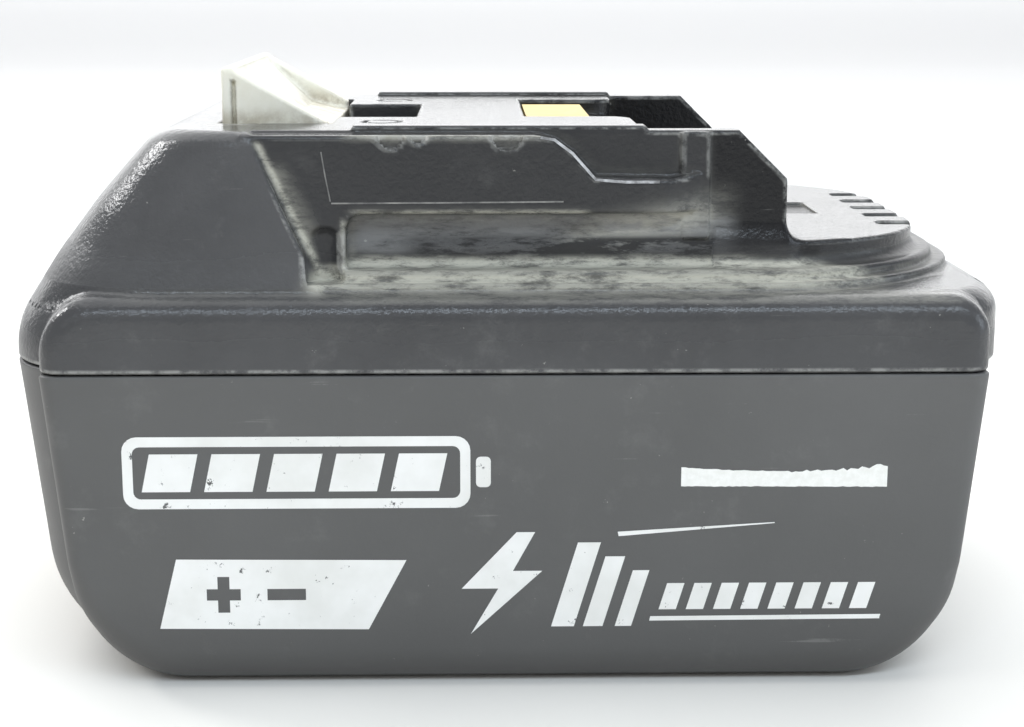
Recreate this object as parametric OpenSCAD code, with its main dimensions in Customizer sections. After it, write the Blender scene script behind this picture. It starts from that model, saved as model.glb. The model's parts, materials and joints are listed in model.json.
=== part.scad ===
// Slide-on battery pack for cordless tools: ten cylindrical cells in a two-part case.
// +X points to the gauge end, the end that enters the tool first. +Z is up.
// The origin is on the resting surface, in the middle of the pack.

/* [Case] */
// Length over the front bulge and the gauge pod
pack_length = 115; // [114:0.5:118]
// Width over the two raised side panels
pack_width = 75; // [74.5:0.1:76]
// Height of the joint between the lower and upper case
split_z = 35.3; // [35:0.1:35.8]
// Wall thickness of both case halves
wall = 2.2; // [2:0.1:2.4]
// Vertical corner radius at the latch end
front_corner_r = 13; // [12:0.5:14]
// Vertical corner radius at the gauge end
rear_corner_r = 11; // [10:0.5:12]
// Radius of the lower corners in side view
keel_r = 13; // [12.5:0.1:13.2]
// Draft of the end faces, in degrees
end_draft = 6.4; // [6:0.1:7]
// How far the side panels stand out from the case
panel_proud = 1.2; // [0.8:0.1:1.5]
// Set-back of the rear wall from the gauge pod
pod_depth = 5; // [4.5:0.1:5.2]

/* [Upper deck] */
// Top of the shoulder that runs round the case
belt_top = 43.6; // [43.4:0.1:43.8]
// Floor of the rail grooves
ledge_z = 45.9; // [45.8:0.1:46.2]
// Top of the low platform at the gauge end
platform_z = 48.6; // [48.5:0.1:48.8]
// Top of the rails and the deck
deck_z = 60.7; // [60.5:0.1:60.9]
// Top of the latch hook
hook_z = 66.9; // [66.5:0.1:67.2]

/* [Slide rails] */
// Half of the width over the two rails
rail_half = 32.6; // [32.4:0.1:32.8]
// Depth of the grooves under the rails
groove_depth = 2.3; // [2.1:0.1:2.5]
// Underside of the rails
rail_under = 51.9; // [51.7:0.1:52.1]
// Gauge end of the rails
rail_end_x = 28; // [27.5:0.5:28.5]
// Closed end of the grooves
groove_end_x = -20; // [-20.6:0.2:-19.4]

/* [Cells] */
// Diameter of one cell in its sleeve
cell_d = 18.3; // [18.2:0.1:18.4]
// Length of one cell
cell_length = 65; // [64.8:0.1:65.2]
// Distance between columns
column_pitch = 18.7; // [18.6:0.1:18.8]
// Distance between the two layers
layer_pitch = 18.8; // [18.7:0.1:18.9]

/* [Moving pieces] */
// Downward travel of the latch
latch_travel = 6.3; // [6:0.1:6.4]
// Inward travel of the gauge button
button_travel = 0.7; // [0.5:0.1:0.8]

/* [Hidden] */
COLUMNS = 5;
CELLS = [for (i = [1:2 * COLUMNS]) str("cell_", i < 10 ? "0" : "", i)];

half_l = pack_length / 2;
half_w = pack_width / 2;
body_half = half_w - panel_proud;
rear_x = half_l - pod_depth;
inner_half = body_half - wall;
case_black = "#26272a";

// Side panel in side view
panel_front_x = -52.8;
panel_rear_x = 49.6;
panel_corner_r = 11.2;
panel_floor = 0.1;
panel_low_edge_r = 4.5;
panel_top_edge_r = 3;
panel_top_front_r = 6.5;
panel_top_rear_r = 4.6;

// Rounded top edge of the shoulder: [drop below its top, inset]
belt_steps = [[3.2, 0], [1, 0.9], [0, 2.6]];

// Terraces between the shoulder and the platform: [half width, rear x, top, rear corner radius]
terrace_low = [34.4, 50.4, 44.7, 26];
terrace_high = [33.6, 48.6, ledge_z, 25];
platform = [rail_half - groove_depth, 46, platform_z, 20.5];
terrace_front_x = -23;
vent_x = 41.4;
vent_pitch = 7;
vent_half = 1.4;
vent_depth = 1.4;
tray_x = [31.5, 36];
tray_half = 5.5;
tray_depth = 0.6;

// The sloping front, as slices: [height, front x, half width, corner radius]
slope = [[36, -half_l, 36.2, 13], [40.5, -56.9, 36, 13], [47, -52.9, 34.6, 12],
    [53.2, -48, 33.8, 11], [58.5, -43, 33, 10], [deck_z, -39.5, 31.6, 9]];
slope_wall = 2.4;

// Half-round pockets where the slope meets the rails
pocket_x = -22.2;
pocket_out = 1.1;
pocket_drop = 1.4;
pocket_r = 1.9;
crease_top_x = -29.9;
crease_foot_x = -22.6;

// Terminal channel between the rails
channel_half = 27.4;
channel_x = 12.4;
window_x = [0, 12.4];
window_half = 10;
window_far = 20;
rib_top = 61.2;
rib_front_x = -19.3;
blade_y = 15.6;
blade_slot = 3.4;

// Latch, its opening, and the pocket behind it
hook_front_x = -34.4;
hook_back_x = -22.8;
hook_half = 20;
latch_gap = 0.5;
pocket_end_x = -12.9;
pocket_half = 11;
pocket_floor = 53;
thumb_half = 13;
thumb_z = [42.5, 55.4];
thumb_back_x = -46;
bridge_half = 11.5;
bridge_low = 48.3;
bridge_high = 54.4;
hook_base = 51;
shoulder_half = 22.2;
shoulder_z = 57.8;
plate_t = 1.2;
lug_t = 3.4;
spring_x = -38;
spring_y = 7;
spring_seat_z = 42;
spring_top_z = 53;
spring_r = 2.3;
spring_wire_r = 0.25;
spring_turns = 6;
spring_plate_x = [-41.5, -33];
// The seat leaves room for the closed coils under the pressed latch
spring_post_z = min(spring_seat_z + 2.6, spring_top_z - latch_travel - 1);

// Gauge pod on the rear wall
pod_half = 9.5;
pod_top = 41;
pod_round = 3.4;
pod_wall = 1.3;
pod_front_x = rear_x - 12;
pod_floor = 0.8;
gauge_board_x = 50.6;
gauge_board_t = 1.2;
lamp_count = 4;
lamp_pitch = 2.2;
lamp_y = -6.6;
lamps_y = [for (k = [0:lamp_count - 1]) lamp_y + k * lamp_pitch];
lamp_half = 0.75;
lens_z = [36.9, 38.8];
lens_edge = 1.2;
button_y = [3.2, 6.8];
button_z = [36.7, 39.1];
button_lip = [0.7, 0.4];
plunger_x = 53;
face_gap = 0.1;

// Cells: centres of the first column and layer
cells_mid_x = -2.5;
first_column_x = cells_mid_x - (COLUMNS - 1) / 2 * column_pitch;
first_layer_z = 12.2;
cell_r = cell_d / 2;
cell_half = cell_length / 2;
holder_r = cell_r + 0.6;
holder_bore_r = cell_r + 0.05;
holder_depth = 6;
holder_top = first_layer_z + layer_pitch + holder_r;
strip_t = 0.2;
tab_half = 3.5;
board_z = 41.9;
board_t = 1.6;
board_x = [-11, 41];
board_half = 23;
board_top = board_z + board_t;
board_screw_reach = 3;
stand_off_x = [board_x[0] + 3, board_x[1] - 9];
stand_off_y = board_half - 2.6;
stand_off_half = 2.2;

// Flat leads run over the holders in a lane beside the board
lead_z = holder_top + 0.1;
lead_t = 0.4;
lead_lane = [28.5, 31.5];
lead_end_y = 20;
wire_half = 0.25;
wire_z = lead_z + 0.2;
ribbon_z = 38.95;

// Yellow block in the terminal window
block_x = [window_x[0] + 0.3, channel_x + 0.6];
block_half = window_half - 0.3;
block_foot_half = 12.8;
block_cap_x = 8;
block_cap_z = deck_z - 0.5;
block_flap_y = window_far - 2.5;

// Foam: [x] and [z] of the side pads, and [x, y] half sizes of each pad under a column
side_pad_x = [-45, 40];
side_pad_z = [7.5, 34.2];
bottom_pad_half = [4, 20];
pad_gap = 0.02;

// Case screws rise from wells in the lower corners: [x, y size]
screw_spots = [[cells_mid_x - 48.5, 23.5], [cells_mid_x + 48.5, 23.5]];
screw_r = 1.2;
screw_head_r = 2;
screw_well_r = 2.2;
screw_sleeve_r = 2.9;
screw_seat_z = 8;
screw_tip_z = 40;
boss_r = 1.9;

function arc_points(centre, r, from, to, steps = 8) =
    [for (i = [0:steps]) let (a = from + (to - from) * i / steps) centre + r * [cos(a), sin(a)]];

// Rounded rectangle in plan, symmetric about X: front and rear corner radii differ
function plan_points(x0, x1, half, r0, r1) = concat(
    arc_points([x0 + r0, half - r0], r0, 180, 90),
    arc_points([x1 - r1, half - r1], r1, 90, 0),
    arc_points([x1 - r1, r1 - half], r1, 0, -90),
    arc_points([x0 + r0, r0 - half], r0, -90, -180));

// Tub in side view: drafted ends that meet the floor in arcs
function tub_points(x0, x1, r, floor_z, top_z, inset = 0) =
    let (d = end_draft, run = (top_z - floor_z - r + r * sin(d)) * tan(d) + r * cos(d))
    concat([[x0 + inset / cos(d), top_z]],
        arc_points([x0 + run, floor_z + r], r - inset, 180 + d, 270),
        arc_points([x1 - run, floor_z + r], r - inset, 270, 360 - d),
        [[x1 - inset / cos(d), top_z]]);

// Slice k of the sloping front at a given height
function slope_x(z, k = 0) = z < slope[k + 1][0] || k == len(slope) - 2
    ? slope[k][1] + (slope[k + 1][1] - slope[k][1]) * (z - slope[k][0]) / (slope[k + 1][0] - slope[k][0])
    : slope_x(z, k + 1);

// Outline in the XZ plane, drawn across Y
module side_prism(points, half) {
    rotate([90, 0, 0]) linear_extrude(2 * half, center = true) polygon(points);
}

// Outline in the YZ plane, drawn along X
module cross_prism(points, x0, x1) {
    translate([x0, 0, 0]) rotate([90, 0, 90]) linear_extrude(x1 - x0) polygon(points);
}

module plan_slab(x0, x1, half, r0, r1, z0, z1) {
    translate([0, 0, z0]) linear_extrude(z1 - z0) polygon(plan_points(x0, x1, half, r0, r1));
}

// Box from its low corner to its high corner
module span(low, high) {
    translate(low) cube(high - low);
}

// Box mirrored about the XZ plane, given for the +Y side
module span_pair(low, high) {
    span(low, high);
    mirror([0, 1, 0]) span(low, high);
}

module post(x, y, z0, z1, r) {
    translate([x, y, z0]) cylinder(h = z1 - z0, r = r, $fn = 48);
}

module at_screws() {
    for (spot = screw_spots, side = [-1, 1]) translate([spot[0], side * spot[1], 0]) children();
}

module at_cells() {
    for (i = [0:COLUMNS - 1], j = [0, 1]) translate([column_x(i), 0, layer_z(j)]) rotate([-90, 0, 0]) children();
}

// ---------------------------------------------------------------- case

module lower_outside() {
    intersection() {
        side_prism(tub_points(-half_l, rear_x, keel_r, 0, split_z), body_half);
        plan_slab(-half_l, rear_x, body_half, front_corner_r, rear_corner_r, 0, split_z);
    }
    intersection() {
        side_prism(tub_points(panel_front_x, panel_rear_x, panel_corner_r, panel_floor, split_z), half_w);
        cross_prism(concat(
            [[half_w, split_z]],
            arc_points([half_w - panel_low_edge_r, panel_low_edge_r], panel_low_edge_r, 0, -90, 6),
            arc_points([panel_low_edge_r - half_w, panel_low_edge_r], panel_low_edge_r, -90, -180, 6),
            [[-half_w, split_z]]), -half_l, half_l);
    }
}

module lower_inside() {
    intersection() {
        side_prism(tub_points(-half_l, rear_x, keel_r, 0, split_z, wall), inner_half);
        plan_slab(-half_l + wall, rear_x - wall, inner_half,
            front_corner_r - wall, rear_corner_r - wall, 0, split_z);
    }
}

module lower_case() color(case_black) {
    difference() {
        lower_outside();
        difference() {
            lower_inside();
            difference() {
                at_screws() {
                    post(0, 0, 0, split_z + 1, boss_r);
                    post(0, 0, 0, screw_seat_z + wall, screw_sleeve_r);
                }
                at_cells() cylinder(h = cell_length, r = cell_r + 0.1, center = true, $fn = 72);
            }
        }
        at_screws() {
            post(0, 0, -1, screw_seat_z, screw_well_r);
            post(0, 0, 0, split_z + 1, screw_r + 0.2);
        }
    }
}

module belt() {
    // The front end follows the slope above it
    hull() for (s = belt_steps)
        plan_slab(s[1] > 0 ? slope_x(belt_top - s[0]) : -half_l, rear_x - s[1], body_half - s[1],
            front_corner_r - s[1], rear_corner_r - s[1], split_z, belt_top - s[0]);
    intersection() {
        side_prism(concat(
            [[panel_front_x, split_z]],
            arc_points([panel_front_x, belt_top] + panel_top_front_r * [1, -1], panel_top_front_r, 180, 90),
            arc_points([panel_rear_x, belt_top] - panel_top_rear_r * [1, 1], panel_top_rear_r, 90, 0),
            [[panel_rear_x, split_z]]), half_w);
        cross_prism(concat(
            [[half_w, split_z]],
            arc_points([half_w, belt_top] - panel_top_edge_r * [1, 1], panel_top_edge_r, 0, 90, 5),
            arc_points([-half_w, belt_top] + panel_top_edge_r * [1, -1], panel_top_edge_r, 90, 180, 5),
            [[-half_w, split_z]]), -half_l, half_l);
    }
}

module front_block() {
    intersection() {
        hull() for (s = slope) plan_slab(s[1], crease_foot_x, s[2], s[3], 0.5, s[0] - 0.02, s[0]);
        side_prism([[-half_l, split_z], [-half_l, deck_z + 1], [crease_top_x, deck_z + 1],
            [crease_top_x, deck_z], [crease_foot_x, belt_top], [crease_foot_x, split_z]], half_w);
    }
    plan_slab(-half_l, crease_foot_x, slope[0][2], front_corner_r, 0.5, split_z, slope[0][0] + 0.5);
}

module terrace(t, front_x) {
    plan_slab(front_x, t[1], t[0], 0.5, t[3], belt_top - 3, t[2]);
}

// Room under a terrace
module terrace_inside(t) {
    plan_slab(-5, t[1] - wall, t[0] - wall, 0.5, t[3] - wall, split_z - 1, t[2] - wall);
}

module rails() {
    web_half = rail_half - groove_depth;
    foot_r = 2.6;
    foot_z = belt_top - 1;
    taper_x = [12, 19.6];
    // Block between the grooves, with chamfered ends on the two side walls
    side_prism(concat([[crease_top_x, foot_z], [crease_top_x, deck_z], [rail_end_x - 5.6, deck_z],
        [rail_end_x, deck_z - 5.4]],
        arc_points([rail_end_x + foot_r, platform_z + foot_r], foot_r, 180, 270, 4),
        [[rail_end_x + foot_r, foot_z]]), web_half);
    span_pair([rib_front_x, channel_half + 0.2, deck_z - 1], [channel_x, web_half, rib_top]);
    // Closed front of the grooves
    span([crease_top_x, -rail_half, foot_z], [groove_end_x, rail_half, rail_under]);
    // Flanges over the grooves, tapered where a tool slides on
    intersection() {
        side_prism([[crease_top_x, rail_under], [crease_top_x, deck_z - 0.4], [1, deck_z - 0.4],
            [2.6, deck_z - 0.7], [4.6, deck_z - 2.1], [7.1, deck_z - 4.8], [17.5, deck_z - 4.8],
            [taper_x[1], deck_z - 6.5], [taper_x[1], rail_under]], rail_half);
        linear_extrude(deck_z) polygon([[crease_top_x, rail_half], [taper_x[0], rail_half], [taper_x[1], web_half],
            [taper_x[1], -web_half], [taper_x[0], -rail_half], [crease_top_x, -rail_half]]);
    }
}

module gauge_pod() {
    intersection() {
        side_prism(concat([[rear_x - 4, split_z], [rear_x - 4, pod_top]],
            arc_points([half_l - pod_round, pod_top - pod_round], pod_round, 90, 0),
            [[half_l, split_z]]), pod_half);
        plan_slab(pod_front_x, half_l, pod_half, 1, pod_round, split_z, pod_top);
        cross_prism(concat([[-pod_half, split_z]],
            arc_points([-pod_half + pod_round, pod_top - pod_round], pod_round, 180, 90),
            arc_points([pod_half - pod_round, pod_top - pod_round], pod_round, 90, 0),
            [[pod_half, split_z]]), pod_front_x, half_l);
    }
}

module upper_outside() {
    belt();
    front_block();
    rails();
    terrace(terrace_low, terrace_front_x);
    terrace(terrace_high, terrace_front_x);
    terrace(platform, 16);
    gauge_pod();
}

module upper_inside() {
    web_half = rail_half - groove_depth;
    plan_slab(-half_l + wall, rear_x - wall, inner_half, front_corner_r - wall,
        rear_corner_r - wall, split_z - 1, belt_top - wall);
    side_prism([[-half_l + wall, split_z - 1], [slope_x(41) + slope_wall, 41],
        [slope_x(47) + 3.2, 47], [slope_x(53.2) + 3.4, 53.2], [slope_x(58.5) + 5.4, deck_z - wall],
        [-0.8 - wall, deck_z - wall], [-0.8 - wall, split_z - 1]], web_half - wall);
    terrace_inside(platform);
    terrace_inside(terrace_high);
    span([rear_x - 4, pod_wall - pod_half, split_z + pod_floor],
        [half_l - pod_wall, pod_half - pod_wall, pod_top - pod_wall]);
}

module upper_case() color(case_black) difference() {
    union() {
        difference() {
            upper_outside();
            difference() {
                upper_inside();
                at_screws() post(0, 0, split_z, belt_top, boss_r);
            }
        }
        // Walls of the pocket behind the latch
        span([hook_back_x + 0.6, -pocket_half - wall, pocket_floor - wall],
            [pocket_end_x + wall, pocket_half + wall, deck_z - 1]);
    }
    // Opening for the latch, and the pocket behind it
    span([hook_front_x - latch_gap, -hook_half - latch_gap, pocket_floor - 5],
        [hook_back_x + 0.6, hook_half + latch_gap, deck_z + 1]);
    span([hook_back_x - 1, -pocket_half, pocket_floor], [pocket_end_x, pocket_half, deck_z + 1]);
    span([-half_l - 1, -thumb_half, thumb_z[0]], [thumb_back_x, thumb_half, thumb_z[1]]);
    // Window over the terminal block, channel, and the two blade slots
    span([window_x[0], -window_half, platform_z - wall - 1], [channel_x + 1, window_half, deck_z + 1]);
    span([window_x[0], -window_half, deck_z - 2], [channel_x + 1, window_far, deck_z + 1]);
    span([channel_x, -channel_half, platform_z], [rail_end_x + 4, channel_half, rib_top + 1]);
    span_pair([1, blade_y - blade_slot / 2, platform_z - wall - 1],
        [channel_x + 1, blade_y + blade_slot / 2, deck_z - 3]);
    // Half-round pockets beside the front of the rails
    for (side = [-1, 1])
        post(pocket_x, side * (rail_half + pocket_out), terrace_low[2], rail_under - pocket_drop, pocket_r);
    // Air vents, open at the rear edge of the platform
    for (k = [-2:2]) span([vent_x, k * vent_pitch - vent_half, platform_z - vent_depth],
        [platform[1] + 1, k * vent_pitch + vent_half, platform_z + 1]);
    // Shallow tray on the platform
    span([tray_x[0], -tray_half, platform_z - tray_depth], [tray_x[1], tray_half, platform_z + 1]);
    // Holes for the lens and the button in the pod
    for (y = lamps_y) span([rear_x, y - lamp_half - face_gap, lens_z[0] - face_gap],
        [half_l + 1, y + lamp_half + face_gap, lens_z[1] + face_gap]);
    span([rear_x, button_y[0] - face_gap, button_z[0] - face_gap],
        [half_l + 1, button_y[1] + face_gap, button_z[1] + face_gap]);
    at_screws() post(0, 0, split_z - 1, screw_tip_z + 0.5, screw_r - 0.15);
}

module screw(length, r, head_r, head_h) {
    post(0, 0, 0, length, r);
    difference() {
        post(0, 0, -head_h, 0.01, head_r);
        translate([0, 0, -head_h - 0.5]) cylinder(h = 1.6, r = head_r * 0.5, $fn = 6);
    }
}

module case_screws() color("silver") {
    at_screws() translate([0, 0, screw_seat_z])
        screw(screw_tip_z - screw_seat_z, screw_r - 0.15, screw_head_r, 2);
}

// ---------------------------------------------------------------- latch

module latch() color("#e6dfc4") {
    plate_back_x = hook_front_x + plate_t;
    // Hook: a thin front plate, two ramped lugs, and a lower wedge between them
    span([hook_front_x, -hook_half, hook_base], [plate_back_x, hook_half, hook_z]);
    for (side = [-1, 1]) translate([0, side * (hook_half - lug_t / 2), 0])
        side_prism([[hook_front_x, hook_base], [hook_front_x, hook_z - 0.3],
            [plate_back_x, hook_z - 0.3], [hook_back_x, deck_z + 0.1], [hook_back_x, hook_base]], lug_t / 2);
    side_prism([[hook_front_x, hook_base], [hook_front_x, hook_z - 0.8],
        [plate_back_x, hook_z - 0.8], [-27.2, deck_z], [hook_back_x, deck_z - 1],
        [hook_back_x, hook_base]], hook_half - 1);
    // Shoulder that stops the latch under the deck
    span([hook_front_x, -shoulder_half, hook_base], [hook_back_x, shoulder_half, shoulder_z]);
    // Bridge to the thumb pad
    side_prism([[-47.5, bridge_low], [-47.5, 50], [-42, bridge_high], [plate_back_x, bridge_high],
        [plate_back_x, spring_top_z], [-40.9, spring_top_z], [-42.3, bridge_low]], bridge_half);
    // Thumb pad with grip ribs, and the skirt below it
    difference() {
        side_prism([[slope_x(47) + 0.5, 40], [slope_x(47) + 0.5, 47], [slope_x(53) + 0.3, 53],
            [thumb_back_x - 0.4, 54.9], [thumb_back_x - 0.4, 52], [-47.4, bridge_low], [-50.6, 45.5], [-50.9, 40]],
            thumb_half - 0.5);
        for (k = [0:3]) translate([slope_x(48.2 + 1.6 * k) + 0.1, 0, 48.2 + 1.6 * k])
            rotate([0, 38, 0]) cube([0.9, 2 * thumb_half - 5, 0.8], center = true);
    }
}

// Helical spring as one swept tube
module helix(r, wire, z0, z1, turns, steps = 14, sides = 6) {
    rings = turns * steps;
    rise = (z1 - z0 - 2 * wire) / rings;
    points = [for (i = [0:rings], j = [0:sides - 1])
        let (a = 360 * i / steps, b = 360 * j / sides, d = r + wire * cos(b))
        [d * cos(a), d * sin(a), z0 + wire + rise * i + wire * sin(b)]];
    walls = [for (i = [0:rings - 1], j = [0:sides - 1])
        let (k = (j + 1) % sides) [i * sides + j, i * sides + k, (i + 1) * sides + k, (i + 1) * sides + j]];
    caps = [[for (j = [sides - 1:-1:0]) j], [for (j = [0:sides - 1]) rings * sides + j]];
    polyhedron(points, concat(walls, caps), convexity = 10);
}

module latch_springs() color("silver") {
    for (side = [-1, 1]) translate([spring_x, side * spring_y, 0])
        helix(spring_r, spring_wire_r, spring_seat_z, spring_top_z, spring_turns);
}

module spring_plate() color("dimgray") {
    // The ends rest on the two cell holders
    span([spring_plate_x[0], -27.5, holder_top], [spring_plate_x[1], 27.5, holder_top + 0.5]);
    span([spring_plate_x[0], -board_half, holder_top], [spring_plate_x[1], board_half, spring_seat_z]);
    for (side = [-1, 1]) post(spring_x, side * spring_y, spring_seat_z - 0.1, spring_post_z, 1.5);
}

// ---------------------------------------------------------------- charge gauge

module gauge_button() color("#3b3c40") {
    flange_x = half_l - pod_wall - 0.1;
    span([plunger_x + button_travel + 0.1, button_y[0], button_z[0]], [half_l - 0.1, button_y[1], button_z[1]]);
    span([flange_x - 1, button_y[0] - button_lip[0], button_z[0] - button_lip[1]],
        [flange_x, button_y[1] + button_lip[0], button_z[1] + button_lip[1]]);
}

module gauge_lens() color("#d8dde2") {
    flange_x = half_l - pod_wall - 0.1;
    span([flange_x - 0.9, lamps_y[0] - lens_edge, lens_z[0] - 0.5],
        [flange_x, lamps_y[lamp_count - 1] + lens_edge, lens_z[1] + 0.5]);
    for (y = lamps_y) span([flange_x - 0.1, y - lamp_half, lens_z[0]], [half_l - 0.1, y + lamp_half, lens_z[1]]);
}

module gauge_board() color("darkgreen") {
    board_edge = pod_half - pod_wall - 0.4;
    span([gauge_board_x, -board_edge, split_z + pod_floor + 0.1],
        [gauge_board_x + gauge_board_t, board_edge, pod_top - pod_wall - 0.4]);
}

module gauge_lamps() color("lightyellow") {
    lamp_z = (lens_z[0] + lens_z[1]) / 2;
    for (y = lamps_y) span([gauge_board_x + gauge_board_t, y - lamp_half, lamp_z - 0.5],
        [gauge_board_x + gauge_board_t + 1, y + lamp_half, lamp_z + 0.5]);
}

module gauge_switch() color("gray") {
    y = (button_y[0] + button_y[1]) / 2;
    z = (button_z[0] + button_z[1]) / 2;
    span([gauge_board_x + gauge_board_t, y - 2, z - 1.3], [plunger_x - 0.4, y + 2, z + 1.3]);
    translate([plunger_x - 0.5, y, z]) rotate([0, 90, 0]) cylinder(h = 0.5, r = 0.9, $fn = 32);
}

module gauge_leads() color("gainsboro") {
    for (y = [-3:1.5:3]) {
        span([board_x[1] - 1, y - 0.4, ribbon_z], [gauge_board_x, y + 0.4, ribbon_z + 0.3]);
        span([board_x[1] - 1, y - 0.4, ribbon_z], [board_x[1] - 0.7, y + 0.4, board_z]);
    }
}

// ---------------------------------------------------------------- terminals

module terminal_block() color("#e3b52b") difference() {
    union() {
        span([block_x[0], -block_half, board_top], [block_x[1], block_half, deck_z - 2]);
        span([block_x[0], -block_foot_half, board_top], [channel_x - 0.2, block_foot_half, platform_z - wall - 0.2]);
        // Raised front of the block, with a flap that reaches over the case on the far side
        span([block_x[0], -block_half, deck_z - 3], [block_cap_x, block_half, block_cap_z]);
        span([block_x[0], 0, deck_z - 2 + pad_gap], [block_cap_x, block_flap_y, block_cap_z]);
    }
    // Slots that the tool's signal blades enter
    for (k = [-3:3]) span([4, 2.6 * k - 0.6, platform_z + 0.6], [channel_x + 1, 2.6 * k + 0.6, deck_z - 3.2]);
}

module signal_contacts() color("goldenrod") {
    for (k = [-3:3]) {
        span([4.1, 2.6 * k - 0.4, platform_z + 0.7], [10.5, 2.6 * k - 0.1, deck_z - 4.5]);
        span([4.1, 2.6 * k + 0.1, platform_z + 0.7], [10.5, 2.6 * k + 0.4, deck_z - 4.5]);
    }
}

module power_terminal(side) color("#c98d5a") translate([0, side * blade_y, 0]) {
    leaf_t = 0.5;
    for (leaf = [-1, 1]) {
        span([2, leaf * 1 - leaf_t / 2, board_top], [11.6, leaf * 1 + leaf_t / 2, deck_z - 4.4]);
    }
    span([2, -1.2, board_top], [11.6, 1.2, board_top + 0.8]);
}

module positive_terminal() {
    power_terminal(1);
}

module negative_terminal() {
    power_terminal(-1);
}

// ---------------------------------------------------------------- control board

module at_board_screws() {
    for (x = stand_off_x, side = [-1, 1]) translate([x, side * stand_off_y, 0]) children();
}

module circuit_board() color("darkgreen") difference() {
    span([board_x[0], -board_half, board_z], [board_x[1], board_half, board_top]);
    at_board_screws() post(0, 0, board_z - 1, board_top + 1, 1.3);
}

module power_switches() color("#1c1c1e") {
    for (x = [16, 22.5, 29]) span([x, 10.6, board_top], [x + 5.4, 17, board_top + 1.6]);
}

module control_chips() color("#1c1c1e") {
    span([18, -10, board_top], [27, -1, board_top + 1.2]);
    span([30, -8, board_top], [35, -3, board_top + 1.1]);
    span([31, 1, board_top], [34.9, 4.9, board_top + 1]);
}

module shunt() color("#b87f4f") {
    span([17, -19.6, board_top], [27.6, -15.4, board_top + 0.9]);
}

module capacitors() color("#8d7a5c") {
    for (x = [36, 38.6], y = [-14:3.4:14]) span([x, y, board_top], [x + 1.3, y + 0.9, board_top + 0.8]);
}

module board_screws() color("silver") {
    at_board_screws() {
        post(0, 0, board_top - board_screw_reach, board_top, 1.1);
        difference() {
            post(0, 0, board_top, board_top + 1.4, 2);
            translate([0, 0, board_top + 0.8]) cylinder(h = 1, r = 0.9, $fn = 6);
        }
    }
}

// Bead between two cells of the upper layer, on a lead from the board
module thermistor() color("#3a6ea5") {
    bead_z = layer_z(1) + 6.6;
    translate([board_x[0] + 0.4, 0, bead_z]) {
        sphere(r = 1.2, $fn = 24);
        cylinder(h = board_z - bead_z, r = 0.3, $fn = 16);
    }
}

// ---------------------------------------------------------------- cells

function column_x(i) = first_column_x + column_pitch * i;

function layer_z(j) = first_layer_z + layer_pitch * j;

// Body of revolution along Y. direction 1 puts the positive cap at +Y
module battery_cell(k) color("#4aa3c7") {
    column = floor(k / 2);
    direction = column % 2 == 0 ? 1 : -1;
    translate([column_x(column), 0, layer_z(k % 2)]) rotate([-90 * direction, 0, 0])
        rotate_extrude($fn = 72) polygon([[0, -cell_half], [cell_r - 0.8, -cell_half],
            [cell_r, -cell_half + 0.8], [cell_r, cell_half - 4.4], [cell_r - 0.7, cell_half - 3.8],
            [cell_r - 0.7, cell_half - 3.2], [cell_r, cell_half - 2.6], [cell_r, cell_half - 1.4],
            [cell_r - 1.2, cell_half - 0.5], [6.2, cell_half - 0.5], [6.2, cell_half - 1.3],
            [4.4, cell_half - 1.3], [4, cell_half], [0, cell_half]]);
}

module cell_insulators() color("#f2efe6") {
    for (i = [0:COLUMNS - 1], j = [0, 1]) {
        direction = i % 2 == 0 ? 1 : -1;
        translate([column_x(i), direction * (cell_half - 0.5), layer_z(j)]) rotate([-90 * direction, 0, 0])
            difference() {
                cylinder(h = 0.3, r = cell_r - 1.2, $fn = 48);
                translate([0, 0, -1]) cylinder(h = 3, r = 5.2, $fn = 48);
            }
    }
}

module cell_holder() {
    x0 = column_x(0);
    x1 = column_x(COLUMNS - 1);
    z0 = layer_z(0);
    z1 = layer_z(1);
    y0 = cell_half - 0.1 - holder_depth;
    difference() {
        union() {
            translate([0, y0 + holder_depth, 0]) rotate([90, 0, 0]) linear_extrude(holder_depth) {
                translate([x0 - holder_r, z0]) square([x1 - x0 + 2 * holder_r, z1 - z0]);
                translate([x0, z0 - holder_r]) square([x1 - x0, z1 - z0 + 2 * holder_r]);
                for (x = [x0, x1], z = [z0, z1]) translate([x, z]) circle(r = holder_r, $fn = 72);
            }
            // Posts between the cells that meet the other half
            for (i = [0:COLUMNS - 2]) translate([column_x(i) + column_pitch / 2, y0 + 1, (z0 + z1) / 2])
                rotate([90, 0, 0]) cylinder(h = y0 + 0.9, r = 3, $fn = 32);
            // Stand-offs under the control board
            for (x = stand_off_x)
                span([x - stand_off_half, stand_off_y - stand_off_half, z1 + 5], [x + stand_off_half, y0 + 1, board_z]);
        }
        at_cells() cylinder(h = 40, r = holder_bore_r, $fn = 72);
        for (x = stand_off_x) post(x, stand_off_y, board_z - 3, board_z + 1, 1.15);
    }
}

module cell_holder_far() color("#d9d7cf") {
    cell_holder();
}

module cell_holder_near() color("#d9d7cf") {
    mirror([0, 1, 0]) cell_holder();
}

// One nickel strip over the columns from i0 to i1, both layers
module strip(i0, i1) {
    for (i = [i0:i1]) span([column_x(i) - tab_half, cell_half, layer_z(0) - tab_half],
        [column_x(i) + tab_half, cell_half + strip_t, layer_z(1) + tab_half]);
    if (i1 > i0) for (j = [0, 1]) span([column_x(i0), cell_half, layer_z(j) - tab_half],
        [column_x(i1), cell_half + strip_t, layer_z(j) + tab_half]);
}

module cell_strips_far() color("silver") {
    strip(0, 1);
    strip(2, 3);
    strip(4, 4);
}

module cell_strips_near() color("silver") mirror([0, 1, 0]) {
    strip(0, 0);
    strip(1, 2);
    strip(3, 4);
}

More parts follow.
